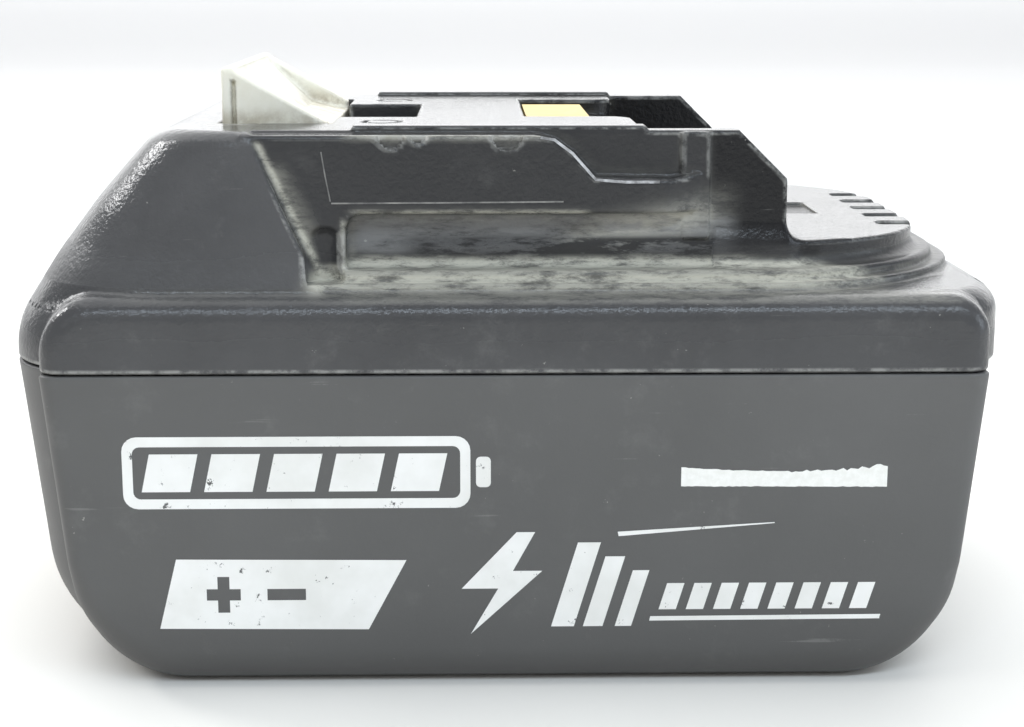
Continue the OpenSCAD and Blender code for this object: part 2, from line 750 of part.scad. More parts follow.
// Flat lead from the top of an end strip, along the lane, and in to the board
module power_lead(x, board_end) {
    lead_top = lead_z + lead_t;
    half = 2;
    span([x - half, cell_half, layer_z(1) + tab_half], [x + half, cell_half + strip_t, lead_top]);
    span([x - half, lead_lane[0], lead_z], [x + half, cell_half + strip_t, lead_top]);
    span([min(x, board_end) - half, lead_lane[0], lead_z], [max(x, board_end) + half, lead_lane[1], lead_top]);
    span([board_end - half, lead_end_y, lead_z], [board_end + half, lead_lane[1], lead_top]);
    span([board_end - half, lead_end_y, lead_z], [board_end + half, lead_end_y + lead_t, board_z]);
}

module lead_positive() color("silver") {
    power_lead(column_x(COLUMNS - 1), 26);
}

module lead_negative() color("silver") mirror([0, 1, 0]) {
    power_lead(column_x(0), -3);
}

// Thin square wire through the given points, each step along one axis
module wire(points) {
    for (i = [1:len(points) - 1]) {
        a = points[i - 1];
        b = points[i];
        span([for (k = [0:2]) min(a[k], b[k]) - wire_half], [for (k = [0:2]) max(a[k], b[k]) + wire_half]);
    }
}

// Balance wire from the strip at tap_x, over the holder, to the board at board_end
module balance_wire(tap_x, board_end) {
    tap_y = cell_half + strip_t + wire_half;
    lane_y = (lead_lane[0] + lead_lane[1]) / 2;
    wire([[tap_x, tap_y, layer_z(1)], [tap_x, tap_y, wire_z], [tap_x, lane_y, wire_z], [board_end, lane_y, wire_z],
        [board_end, lead_end_y, wire_z], [board_end, lead_end_y, board_z - wire_half]]);
}

module balance_wires() color("firebrick") {
    balance_wire(-19, -3);
    balance_wire(8, 8);
    mirror([0, 1, 0]) {
        balance_wire(0.5, 0.5);
        balance_wire(20, 20);
    }
}

module side_pad() {
    span([side_pad_x[0], cell_half + 0.8, side_pad_z[0]], [side_pad_x[1], inner_half - 0.2, side_pad_z[1]]);
}

module side_pad_far() color("#5a5b5f") {
    side_pad();
}

module side_pad_near() color("#5a5b5f") mirror([0, 1, 0]) {
    side_pad();
}

// The end columns stand over the rounded bottom of the case, so they have no pad
module bottom_pad() color("#5a5b5f") {
    for (i = [1:COLUMNS - 2])
        span([column_x(i) - bottom_pad_half[0], -bottom_pad_half[1], wall + pad_gap],
            [column_x(i) + bottom_pad_half[0], bottom_pad_half[1], first_layer_z - cell_r - pad_gap]);
}

lower_case();
upper_case();
latch();
latch_springs();
spring_plate();
gauge_button();
gauge_lens();
gauge_board();
gauge_lamps();
gauge_switch();
gauge_leads();
terminal_block();
positive_terminal();
negative_terminal();
signal_contacts();
circuit_board();
power_switches();
control_chips();
shunt();
capacitors();
board_screws();
cell_holder_near();
cell_holder_far();
cell_insulators();
cell_strips_near();
cell_strips_far();
lead_positive();
lead_negative();
balance_wires();
thermistor();
side_pad_near();
side_pad_far();
bottom_pad();
case_screws();
for (k = [0:len(CELLS) - 1]) battery_cell(k);
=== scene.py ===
"""Looks of a used slide-on battery pack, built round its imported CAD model.

The case halves, latch, gauge button and lens are skinned from signed distance functions in
millimetres: negative inside, positive outside. Every other CAD node stays and gets a material.
"""
import json
import math

import bmesh
import bpy
import numpy as np
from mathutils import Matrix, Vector
from mathutils.geometry import tessellate_polygon


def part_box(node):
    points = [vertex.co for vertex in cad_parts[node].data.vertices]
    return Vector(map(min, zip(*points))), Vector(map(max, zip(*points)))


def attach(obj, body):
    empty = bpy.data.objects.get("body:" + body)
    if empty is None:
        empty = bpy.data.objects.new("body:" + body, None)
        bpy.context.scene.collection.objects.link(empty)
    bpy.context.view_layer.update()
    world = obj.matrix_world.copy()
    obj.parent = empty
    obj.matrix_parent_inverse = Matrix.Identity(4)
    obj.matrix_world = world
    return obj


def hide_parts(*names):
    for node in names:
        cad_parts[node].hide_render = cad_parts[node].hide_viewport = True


MM = 0.001
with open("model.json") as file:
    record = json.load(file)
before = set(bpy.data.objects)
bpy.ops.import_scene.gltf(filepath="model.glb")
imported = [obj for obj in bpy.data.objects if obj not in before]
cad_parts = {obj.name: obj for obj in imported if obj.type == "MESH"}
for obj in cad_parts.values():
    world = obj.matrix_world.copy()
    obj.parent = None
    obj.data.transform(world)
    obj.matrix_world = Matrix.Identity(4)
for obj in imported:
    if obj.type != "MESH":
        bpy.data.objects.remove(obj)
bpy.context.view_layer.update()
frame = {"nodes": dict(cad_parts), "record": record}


def box_mm(node):
    """Lowest and highest corner of a CAD node, in millimetres."""
    low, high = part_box(node)
    return np.array(low) / MM, np.array(high) / MM


# ---------------------------------------------------------------- dimensions, in millimetres
LOWER = box_mm("lower_case")
UPPER = box_mm("upper_case")
LATCH = box_mm("latch")
BUTTON = box_mm("gauge_button")
LENS = box_mm("gauge_lens")

# Case halves
SPLIT_Z = LOWER[1][2]
FRONT_X = LOWER[0][0]
REAR_X = LOWER[1][0]
PANEL_Y = LOWER[1][1] - 0.05
BODY_Y = PANEL_Y - 1.15
KEEL_R = 13.0
FRONT_R = 13.0
REAR_R = 11.0
DRAFT = math.tan(math.radians(6.4))
WALL = 2.2
SHELL = 2.6
SEAM = 0.09
SEAM_R = 0.3

# Raised side panels: ends, floor, radii of the lower corners and of the edges
PANEL_X = (-52.8, 49.6)
PANEL_FLOOR = 0.02
PANEL_DRAFT = 0.9
PANEL_KEEL_R = 11.2
PANEL_END_R = 1.8
PANEL_LOW_R = 4.5
PANEL_LOW_Z = (6, 14)
PANEL_TOP_R = 2.6
PANEL_TOP_CORNERS = (6.5, 4.6)

# Screw wells in the lower corners
SCREWS = [(x, y) for x in (-51.0, 46.0) for y in (-23.5, 23.5)]
WELL_R = 2.2
WELL_TOP = 8
SLEEVE_R = 2.9
POST_R = 1.9

# Shoulder, slide rails and deck
BELT_Z = 43.6
BELT_R = 3.0
BELT_SET_BACK = 0.9
LEDGE_Z = 45.9
PLATFORM_Z = 48.6
DECK_Z = 60.7
RIB_Z = UPPER[1][2]
RAIL_FOOT = 42
WEB_Y = 30.3
RAIL_Y = 32.6
RAIL_UNDER = 51.9
RAIL_END_X = 28.0
GROOVE_X = -20.0
TAPER_X = (14.5, 19.5)
RIB_X = -19.3
PAD_X = 16.3
CREASE = ((-29.9, 59.8), (-22.6, 44.0))

# Terraces: rear x, half width, rear corner radius, height, edge radius
TERRACE_X = -23
PLATFORM = (46.0, WEB_Y, 20.5, PLATFORM_Z, 0.5)
HIGH_TERRACE = (48.6, 33.6, 25, LEDGE_Z, 0.6)
LOW_TERRACE = (50.4, 34.5, 26, 44.7, 0.4)

# Terminal channel and the window in front of it
CHANNEL_Y = 27.4
CHANNEL_X = 12.4
WINDOW_X = (0, 14)
WINDOW_Y = 10
FLAP_Y = 20
BLADE_Y = (13.9, 17.3)
ABOVE = 70

# Gauge pod on the rear wall
POD_X = UPPER[1][0] - 0.02
POD_Z = 41.0
POD_HALF = 9.5
POD_R = 3.4
POD_WALL = 1.3
POD_FLOOR = 0.8
LAMPS_Y = (-6.6, -4.4, -2.2, 0.0)
LAMP_HALF = 0.75

# Latch, its opening, and the pocket behind it
HOOK_X = (-34.4, -22.8)
HOOK_Y = 20.0
HOOK_Z = LATCH[1][2]
HOOK_BASE = 51
HOOK_PLATE = 1.2
OPENING_X = -22.2
POCKET_X = (-23.8, -12.9)
POCKET_Y = 11.0
POCKET_Z = 53.0
THUMB_Y = 13.0
THUMB_Z = (42.5, 55.4)
THUMB_X = -46.0

# Small features: dents in the rail edge (x, radius), pocket beside the groove, vents, tray, ring marks
DENTS = ((-15.0, 1.5), (-12.1, 1.0), (-2.6, 1.7))
SIDE_POCKET = (-22.2, RAIL_Y + 1.1, 2.1)
VENT_X = 41.4
VENT_PITCH = 7
VENT_HALF = 1.4
VENT_DEPTH = 1.4
TRAY = (31.5, 36, 5.5)
TRAY_DEPTH = 0.6
RING = (-16.6, 18.2, 2.1)
RING_DEPTH = 0.35
DECK_LINE = (-14, 22.5, 11.2, 23.1)
DECK_LINE_DEPTH = 0.5

# Sloping front: height, front x, half width, corner radius
SLOPE = np.array([
    [34, -57.5, 36.2, 13], [37.6, -57.5, 36.2, 13], [40.4, -56.8, 36.0, 13], [46.9, -52.6, 34.6, 12],
    [53.1, -47.8, 33.8, 11], [58, -43.4, 33.2, 10], [63, -38.6, 32.7, 9]])


# ---------------------------------------------------------------- signed distance tools
def rmax(a, b, r):
    """Intersection with edges rounded to radius r."""
    u = np.maximum(a + r, 0)
    v = np.maximum(b + r, 0)
    return np.minimum(-r, np.maximum(a, b)) + np.sqrt(u * u + v * v)


def rmin(a, b, r):
    """Union with a fillet of radius r."""
    return -rmax(-a, -b, r)


def cut(solid, tool, r=0.25):
    """Solid less the tool, with the rim rounded to radius r."""
    return rmax(solid, -tool, r)


def box(x, y, z, low, high, r=0.3):
    """Box with every edge rounded."""
    d = [np.abs(v - (a + b) / 2) - (b - a) / 2 + r for v, a, b in zip((x, y, z), low, high)]
    outside = np.sqrt(sum(np.maximum(v, 0) ** 2 for v in d))
    return outside + np.minimum(np.maximum(np.maximum(d[0], d[1]), d[2]), 0) - r


def polygon(u, v, points):
    """Exact distance to a closed outline, in the plane of u and v."""
    pts = np.array(points, dtype=float)
    best = None
    inside = None
    for (ax, ay), (bx, by) in zip(pts, np.roll(pts, -1, axis=0)):
        ex, ey = bx - ax, by - ay
        wx, wy = u - ax, v - ay
        t = np.clip((wx * ex + wy * ey) / (ex * ex + ey * ey), 0, 1)
        d = (wx - ex * t) ** 2 + (wy - ey * t) ** 2
        best = d if best is None else np.minimum(best, d)
        with np.errstate(divide="ignore", invalid="ignore"):
            crossing = ((ay > v) != (by > v)) & (u < ex * (v - ay) / (ey if ey else 1e-9) + ax)
        inside = crossing if inside is None else inside ^ crossing
    return np.where(inside, -1, 1) * np.sqrt(best)


def disc(u, v, cu, cv, r):
    return np.sqrt((u - cu) ** 2 + (v - cv) ** 2) - r


def plan(x, y, x0, x1, half, r0, r1):
    """Rounded rectangle seen from above, with its own radius at each end."""
    side = np.abs(y) - half
    return np.maximum(rmax(x0 - x, side, r0), rmax(x - x1, side, r1))


def slope_at(z, column):
    """Column of SLOPE at height z, averaged over 2.5 mm."""
    spacing, reach = 0.1, 12
    fine = np.arange(33, 64, spacing)
    values = np.interp(fine, SLOPE[:, 0], SLOPE[:, column])
    kernel = np.ones(2 * reach + 1) / (2 * reach + 1)
    padded = np.concatenate([np.full(reach, values[0]), values, np.full(reach, values[-1])])
    return np.interp(z, fine, np.convolve(padded, kernel, mode="valid"))


# ---------------------------------------------------------------- lower case
def tub(x, y, z):
    """Outside of the lower half, before it is cut at the seam."""
    drop = SPLIT_Z - z
    cosine = 1 / math.sqrt(1 + DRAFT ** 2)
    ends = np.maximum(FRONT_X + drop * DRAFT - x, x - REAR_X + drop * DRAFT) * cosine
    u = np.maximum(ends + KEEL_R, 0)
    v = np.maximum(np.abs(y) - BODY_Y + KEEL_R, 0)
    w = np.maximum(KEEL_R - z, 0)
    deep = np.maximum(np.maximum(ends, np.abs(y) - BODY_Y), -z)
    body = np.minimum(-KEEL_R, deep) + np.sqrt(u * u + v * v + w * w)
    lean = drop * DRAFT * PANEL_DRAFT
    panel_ends = np.maximum(PANEL_X[0] + lean - x, x - PANEL_X[1] + lean) * cosine
    panel = rmax(panel_ends, PANEL_FLOOR - z, PANEL_KEEL_R)
    panel = rmax(panel, np.abs(y) - PANEL_Y, np.interp(z, PANEL_LOW_Z, [PANEL_LOW_R, PANEL_END_R]))
    return rmin(body, panel, 0.35)


def lower_case(x, y, z):
    outside = tub(x, y, z)
    shell = np.maximum(outside, -(outside + SHELL))
    skin_depth = outside + 0.4
    for sx, sy in SCREWS:
        well = disc(x, y, sx, sy, 0)
        sleeve = np.maximum(np.maximum(well - SLEEVE_R, z - WELL_TOP - WALL), skin_depth)
        post = np.maximum(np.maximum(well - POST_R, z - SPLIT_Z), skin_depth)
        shell = np.minimum(shell, np.minimum(sleeve, post))
        shell = cut(shell, np.maximum(well - WELL_R, z - WELL_TOP))
    return rmax(shell, z - SPLIT_Z + SEAM, SEAM_R)


# ---------------------------------------------------------------- upper case
def belt(x, y, z):
    """Shoulder of the upper half, with the tops of the side panels."""
    front = slope_at(z, 1) + BELT_SET_BACK
    main = rmax(plan(x, y, front, REAR_X, BODY_Y, FRONT_R, REAR_R), z - BELT_Z, BELT_R)
    corners = zip((PANEL_X[0] - x, x - PANEL_X[1]), PANEL_TOP_CORNERS)
    profile = np.maximum(*[rmax(end, z - BELT_Z, r) for end, r in corners])
    return rmin(main, rmax(profile, np.abs(y) - PANEL_Y, PANEL_TOP_R), 0.5)


def slope_front(x, z, inset=0.0):
    """Distance to the sloping front face."""
    step = 0.5
    rise = (slope_at(z + step, 1) - slope_at(z - step, 1)) / (2 * step)
    return (slope_at(z, 1) - x) / np.sqrt(1 + rise * rise) + inset


def crease_side(x, z):
    """Positive on the rail side of the crease."""
    (x0, z0), (x1, z1) = CREASE
    length = math.hypot(x1 - x0, z1 - z0)
    return ((x - x0) * (z0 - z1) + (z - z0) * (x1 - x0)) / length


def front_block(x, y, z):
    side = np.abs(y) - slope_at(z, 2)
    block = rmax(slope_front(x, z), side, slope_at(z, 3))
    block = rmax(block, z - DECK_Z, 1.6)
    return rmax(block, crease_side(x, z), 0.35)


def rail_web(x, y, z):
    """Block between the two grooves, with chamfered ends on its side walls."""
    outline = [(-30, RAIL_FOOT), (-30, DECK_Z), (RAIL_END_X - 5.4, DECK_Z), (RAIL_END_X, DECK_Z - 5.3),
               (RAIL_END_X, RAIL_FOOT)]
    return rmax(polygon(x, z, outline), np.abs(y) - WEB_Y, 0.35)


def rail_flange(x, y, z):
    """Flange over each groove. Its top steps down towards the gauge end, where it also tapers."""
    outline = [(-31, RAIL_FOOT), (-31, DECK_Z - 0.35), (0.4, DECK_Z - 0.35), (2.5, DECK_Z - 0.75),
               (4.6, DECK_Z - 2.2), (7.0, DECK_Z - 4.9), (15.5, DECK_Z - 5.1), (18.4, DECK_Z - 4.4),
               (TAPER_X[1], DECK_Z - 5.5), (TAPER_X[1], RAIL_FOOT)]
    along = np.clip((x - TAPER_X[0]) / (TAPER_X[1] - TAPER_X[0]), 0, 1.3)
    taper = (np.abs(y) - RAIL_Y) + along * (RAIL_Y - WEB_Y)
    flange = rmax(polygon(x, z, outline), taper, 0.45)
    flange = rmax(flange, crease_side(x, z) * -1 - 3, 0.2)
    groove = rmax(GROOVE_X - x, z - RAIL_UNDER, 2.0)
    groove = rmax(groove, WEB_Y - np.abs(y), 0.7)
    return cut(flange, groove, 0.5)


def rails(x, y, z):
    ay = np.abs(y)
    rib = box(x, ay, z, (RIB_X, CHANNEL_Y + 0.2, DECK_Z - 2), (CHANNEL_X + 0.2, WEB_Y, RIB_Z))
    pad = box(x, ay, z, (PAD_X, 20, RAIL_UNDER - 3), (TAPER_X[1], WEB_Y + 0.35, DECK_Z - 0.1))
    body = rmin(rail_web(x, y, z), rail_flange(x, y, z), 0.4)
    return np.minimum(rmin(body, rib, 0.2), pad)


def terrace(x, y, z, rear, half, corner, top, edge):
    return rmax(plan(x, y, TERRACE_X, rear, half, 0.5, corner), z - top, edge)


def terrace_room(x, y, z, rear, half, corner, top):
    """Hollow under a terrace."""
    return np.maximum(plan(x, y, -5, rear - WALL, half - WALL, 0.5, corner - WALL), z - top + WALL)


def terraces(x, y, z):
    platform, high, low = (terrace(x, y, z, *t) for t in (PLATFORM, HIGH_TERRACE, LOW_TERRACE))
    return rmin(rmin(platform, high, 1.2), low, 0.4)


def pod(x, y, z):
    """Housing of the charge gauge, rounded on every edge."""
    rear, end, top = x - POD_X, np.abs(y) - POD_HALF, z - POD_Z
    top_edges = np.maximum(rmax(rear, top, POD_R), rmax(end, top, POD_R))
    return np.maximum(np.maximum(top_edges, rmax(rear, end, POD_R)), 47 - x)


def upper_room(x, y, z):
    """Hollow inside the upper half."""
    main = plan(x, y, FRONT_X + WALL, REAR_X - WALL, BODY_Y - WALL, FRONT_R - WALL, REAR_R - WALL)
    main = np.maximum(main, z - BELT_Z + WALL)
    front = np.maximum(slope_front(x, z, 3.0), np.abs(y) - WEB_Y + WALL)
    front = np.maximum(front, np.maximum(x + 3, z - DECK_Z + WALL))
    in_pod = box(x, y, z, (REAR_X - 4, POD_WALL - POD_HALF, SPLIT_Z + POD_FLOOR),
                 (POD_X + 0.02 - POD_WALL, POD_HALF - POD_WALL, POD_Z - POD_WALL), 0.2)
    room = np.minimum(np.minimum(main, front), in_pod)
    for t in (PLATFORM, HIGH_TERRACE):
        room = np.minimum(room, terrace_room(x, y, z, *t[:4]))
    pod_floor = box(x, y, z, (REAR_X - WALL + 0.1, 0.5 - POD_HALF, SPLIT_Z - 1),
                    (POD_X + 0.02 - 1, POD_HALF - 0.5, SPLIT_Z + POD_FLOOR), 0.1)
    return np.maximum(room, -pod_floor)


def upper_outside(x, y, z):
    body = rmin(belt(x, y, z), front_block(x, y, z), 0.5)
    body = rmin(body, pod(x, y, z), 1.4)
    body = rmin(body, terraces(x, y, z), 0.6)
    # The fillet is wider where the rail ends and side walls stand on the platform
    return rmin(body, rails(x, y, z), np.where(x > 20, 2.4, 0.6))


def cut_latch_openings(body, x, y, z):
    """Slot for the hook, the pocket behind it, and the window for the thumb pad."""
    slot = box(x, y, z, (HOOK_X[0] - 0.5, -HOOK_Y - 0.5, 48), (OPENING_X, HOOK_Y + 0.5, ABOVE), 0.4)
    body = cut(body, slot, 0.35)
    pocket = box(x, y, z, (POCKET_X[0], -POCKET_Y, POCKET_Z), (POCKET_X[1], POCKET_Y, ABOVE), 0.6)
    body = cut(body, pocket, 0.3)
    thumb_window = box(x, y, z, (-70, -THUMB_Y, THUMB_Z[0]), (THUMB_X, THUMB_Y, THUMB_Z[1]), 1.4)
    return cut(body, thumb_window, 0.5)


def cut_terminal_openings(body, x, y, z):
    """Window over the terminal block with its lower flap, the channel, and the two blade slots."""
    window = box(x, y, z, (WINDOW_X[0], -WINDOW_Y, 45), (WINDOW_X[1], WINDOW_Y, ABOVE))
    flap = box(x, y, z, (WINDOW_X[0], -WINDOW_Y, DECK_Z - 2), (WINDOW_X[1], FLAP_Y, ABOVE))
    channel = box(x, y, z, (CHANNEL_X, -CHANNEL_Y, PLATFORM_Z), (60, CHANNEL_Y, ABOVE))
    body = cut(body, window)
    body = cut(body, rmin(flap, channel, 3.0), 0.3)
    blade_slot = box(x, np.abs(y), z, (1, BLADE_Y[0], 45), (WINDOW_X[1], BLADE_Y[1], DECK_Z - 3))
    return cut(body, blade_slot, 0.2)


def cut_small_features(body, x, y, z):
    """Side pockets, vents, tray, ring marks and the thin line along the deck."""
    ay = np.abs(y)
    side_pocket = rmax(disc(x, ay, *SIDE_POCKET), z - RAIL_UNDER + 1.3, 1.4)
    body = cut(body, np.maximum(side_pocket, 44.6 - z), 0.3)
    for k in range(-2, 3):
        low = (VENT_X, VENT_PITCH * k - VENT_HALF, PLATFORM_Z - VENT_DEPTH)
        body = cut(body, box(x, y, z, low, (60, VENT_PITCH * k + VENT_HALF, ABOVE), 0.5))
    x0, x1, half = TRAY
    body = cut(body, box(x, y, z, (x0, -half, PLATFORM_Z - TRAY_DEPTH), (x1, half, ABOVE)), 0.2)
    ring = np.abs(disc(x, ay, *RING)) - 0.3
    body = cut(body, np.maximum(ring, DECK_Z - RING_DEPTH - z), 0.1)
    x0, y0, x1, y1 = DECK_LINE
    return cut(body, box(x, ay, z, (x0, y0, DECK_Z - DECK_LINE_DEPTH), (x1, y1, ABOVE), 0.1), 0.1)


def cut_gauge_windows(body, x, y, z):
    """Windows for the lamps and the button in the gauge pod."""
    for y0 in LAMPS_Y:
        low = (REAR_X, y0 - LAMP_HALF - 0.1, LENS[0][2] + 0.4)
        body = cut(body, box(x, y, z, low, (ABOVE, y0 + LAMP_HALF + 0.1, LENS[1][2] - 0.4), 0.2), 0.15)
    low = (REAR_X, BUTTON[0][1] + 0.6, BUTTON[0][2] + 0.3)
    return cut(body, box(x, y, z, low, (ABOVE, BUTTON[1][1] - 0.6, BUTTON[1][2] - 0.3)), 0.2)


def upper_case(x, y, z):
    body = np.maximum(upper_outside(x, y, z), -upper_room(x, y, z))
    pocket_walls = box(x, y, z, (OPENING_X, -POCKET_Y - WALL, POCKET_Z - WALL),
                       (POCKET_X[1] + WALL, POCKET_Y + WALL, DECK_Z - 1), 0.2)
    body = np.minimum(body, pocket_walls)
    for cut_group in (cut_latch_openings, cut_terminal_openings, cut_small_features, cut_gauge_windows):
        body = cut_group(body, x, y, z)
    for rx, r in DENTS:
        body = cut(body, np.maximum(disc(x, z, rx, DECK_Z - 0.2, r), RAIL_Y - 0.3 - np.abs(y)), 0.1)
    return rmax(body, SPLIT_Z + SEAM - z, SEAM_R)


# ---------------------------------------------------------------- latch and gauge
def latch_hook(x, y, z):
    """Thin front plate, two ramped lugs at its ends, and a lower wedge between them."""
    ay = np.abs(y)
    front, back = HOOK_X
    plate_x = front + HOOK_PLATE
    plate = box(x, y, z, (front, -HOOK_Y, HOOK_BASE - 0.1), (plate_x, HOOK_Y, HOOK_Z), 0.35)
    ramp = [(front, HOOK_BASE), (front, HOOK_Z - 0.3), (plate_x, HOOK_Z - 0.3), (back, DECK_Z + 0.1),
            (back, HOOK_BASE)]
    lug = rmax(polygon(x, z, ramp), np.abs(ay - HOOK_Y + 1.7) - 1.7, 0.4)
    low = [(front, HOOK_BASE), (front, HOOK_Z - 0.8), (plate_x, HOOK_Z - 0.8), (-27.4, DECK_Z),
           (back, DECK_Z - 1), (back, HOOK_BASE)]
    wedge = rmax(polygon(x, z, low), ay - HOOK_Y + 1, 0.3)
    hook = rmin(rmin(plate, lug, 0.3), wedge, 0.5)
    line_end = (plate_x + 0.25, 24, 65.4)
    return cut(hook, box(x, ay, z, (plate_x - 0.1, HOOK_Y - 0.6, DECK_Z - 2), line_end, 0.1), 0.1)


def thumb_pad(x, y, z):
    """Pad that follows the slope, with four grip grooves."""
    ay = np.abs(y)
    front = [(float(slope_at(h, 1)) + 0.5, h) for h in (40.5, 42.5, 44.5, 46.5, 48.5, 50.5, 52.5, 54.6)]
    pad = polygon(x, z, front + [(-46.2, 54.9), (-46.2, 52), (-47.4, 48.3), (-50.6, 45.5), (-50.9, 40.5)])
    pad = rmax(pad, ay - THUMB_Y + 0.6, 0.8)
    for k in range(4):
        h = 45.2 + 2.3 * k
        grip = disc(x, z, float(slope_at(h, 1)) + 0.35, h, 0.75)
        pad = cut(pad, np.maximum(grip, ay - 10.2), 0.3)
    return pad


def latch(x, y, z):
    plate_x = HOOK_X[0] + HOOK_PLATE
    shoulder = box(x, y, z, (HOOK_X[0], -22.2, HOOK_BASE), (HOOK_X[1], 22.2, 57.8))
    bridge = polygon(x, z, [(-47.5, 48.3), (-47.5, 50), (-42, 54.4), (plate_x, 54.4), (plate_x, 53),
                            (-40.9, 53), (-42.3, 48.3)])
    bridge = np.maximum(bridge, np.abs(y) - 11.5)
    return np.minimum(np.minimum(latch_hook(x, y, z), shoulder), rmin(bridge, thumb_pad(x, y, z), 0.6))


def gauge_button(x, y, z):
    low, high = BUTTON
    stem = box(x, y, z, (low[0], low[1] + 0.7, low[2] + 0.4), (high[0], high[1] - 0.7, high[2] - 0.4), 0.35)
    middle = (low + high) / 2
    dish = np.sqrt((x - high[0] - 3.6) ** 2 + (y - middle[1]) ** 2 * 0.5 + (z - middle[2]) ** 2) - 3.85
    flange = box(x, y, z, (high[0] - 2.3, low[1], low[2]), (high[0] - 1.3, high[1], high[2]), 0.15)
    return np.minimum(cut(stem, dish, 0.1), flange)


def gauge_lens(x, y, z):
    low, high = LENS
    body = box(x, y, z, low, (high[0] - 1.3, high[1], high[2]), 0.15)
    for y0 in LAMPS_Y:
        start = (low[0], y0 - LAMP_HALF, low[2] + 0.5)
        window = box(x, y, z, start, (high[0], y0 + LAMP_HALF, high[2] - 0.5), 0.2)
        body = np.minimum(body, window)
    return body


# ---------------------------------------------------------------- skinning
def steps(*runs):
    """Grid lines: each run is (from, to, spacing)."""
    lines = [np.linspace(a, b, max(2, int(round((b - a) / s)) + 1)) for a, b, s in runs]
    return np.unique(np.round(np.concatenate(lines), 4))


def gradient(f, p, value):
    """Slope of f at the points p, where f already has the given values."""
    e = 0.02
    x, y, z = p.T
    return np.stack([f(x + e, y, z) - value, f(x, y + e, z) - value, f(x, y, z + e) - value], axis=1) / e


def skin(f, xs, ys, zs):
    """Surface net of f's zero surface: vertices in millimetres and quads."""
    grid = (xs, ys, zs)
    v = f(xs[:, None, None], ys[None, :, None], zs[None, None, :])
    v = np.broadcast_to(v, (len(xs), len(ys), len(zs))).astype(np.float64)
    v = np.where(v == 0, 1e-9, v)
    shape = tuple(n - 1 for n in v.shape)
    corners = [(i, j, k) for i in (0, 1) for j in (0, 1) for k in (0, 1)]

    def at(c):
        return v[c[0]:c[0] + shape[0], c[1]:c[1] + shape[1], c[2]:c[2] + shape[2]]

    count = sum((at(c) < 0).astype(np.int8) for c in corners)
    cells = np.argwhere((count > 0) & (count < 8))
    number = np.full(shape, -1, dtype=np.int64)
    number[tuple(cells.T)] = np.arange(len(cells))
    total = np.zeros((len(cells), 3))
    hits = np.zeros(len(cells))
    for a in corners:
        for axis in range(3):
            if a[axis]:
                continue
            b = list(a)
            b[axis] = 1
            va, vb = at(a)[tuple(cells.T)], at(b)[tuple(cells.T)]
            crossed = (va < 0) != (vb < 0)
            t = np.where(crossed, va / np.where(crossed, va - vb, 1), 0)
            point = np.stack([g[cells[:, m] + a[m]] for m, g in enumerate(grid)], axis=1)
            point[:, axis] += t * (grid[axis][cells[:, axis] + 1] - grid[axis][cells[:, axis]])
            total += point * crossed[:, None]
            hits += crossed
    points = total / hits[:, None]
    # Three short steps bring each vertex onto the surface itself
    for _ in range(3):
        value = f(*points.T)
        g = gradient(f, points, value)
        step = value[:, None] * g / np.maximum((g * g).sum(axis=1), 0.2)[:, None]
        length = np.linalg.norm(step, axis=1)
        points -= step * np.minimum(1, 0.3 / np.maximum(length, 1e-9))[:, None]
    quads = []
    for axis in range(3):
        u, w = (axis + 1) % 3, (axis + 2) % 3
        low = [slice(None)] * 3
        high = [slice(None)] * 3
        low[axis], high[axis] = slice(None, -1), slice(1, None)
        for m in (u, w):
            low[m] = high[m] = slice(1, -1)
        first, second = v[tuple(low)] < 0, v[tuple(high)] < 0
        hit = np.argwhere(first != second)
        base = hit.copy()
        base[:, u] += 1
        base[:, w] += 1
        ring = []
        for du, dw in ((-1, -1), (0, -1), (0, 0), (-1, 0)):
            cell = base.copy()
            cell[:, u] += du
            cell[:, w] += dw
            ring.append(number[tuple(cell.T)])
        ring = np.stack(ring, axis=1)
        flip = ~first[tuple(hit.T)]
        ring[flip] = ring[flip][:, ::-1]
        quads.append(ring)
    return points, np.concatenate(quads)


def to_object(name, points, quads, normals=None):
    """Smooth object from vertices in millimetres and quads."""
    mesh = bpy.data.meshes.new(name)
    mesh.vertices.add(len(points))
    mesh.vertices.foreach_set("co", (points * MM).astype(np.float32).ravel())
    mesh.loops.add(quads.size)
    mesh.loops.foreach_set("vertex_index", quads.astype(np.int32).ravel())
    mesh.polygons.add(len(quads))
    starts = np.arange(0, quads.size, quads.shape[1], dtype=np.int32)
    mesh.polygons.foreach_set("loop_start", starts)
    mesh.update(calc_edges=True)
    mesh.validate()
    mesh.polygons.foreach_set("use_smooth", np.ones(len(mesh.polygons), dtype=bool))
    if normals is not None:
        mesh.normals_split_custom_set_from_vertices(normals.astype(np.float32))
    ob = bpy.data.objects.new(name, mesh)
    bpy.context.scene.collection.objects.link(ob)
    return ob


def paint(ob, name, values):
    """Write a value from 0 to 1 on every vertex, for a material to read."""
    layer = ob.data.attributes.new(name, "FLOAT", "POINT")
    layer.data.foreach_set("value", np.clip(values, 0, 1).astype(np.float32))


EDGE_REACH = 0.8
EDGE_GAIN = 1.6
HOLLOW_REACH = 1.4


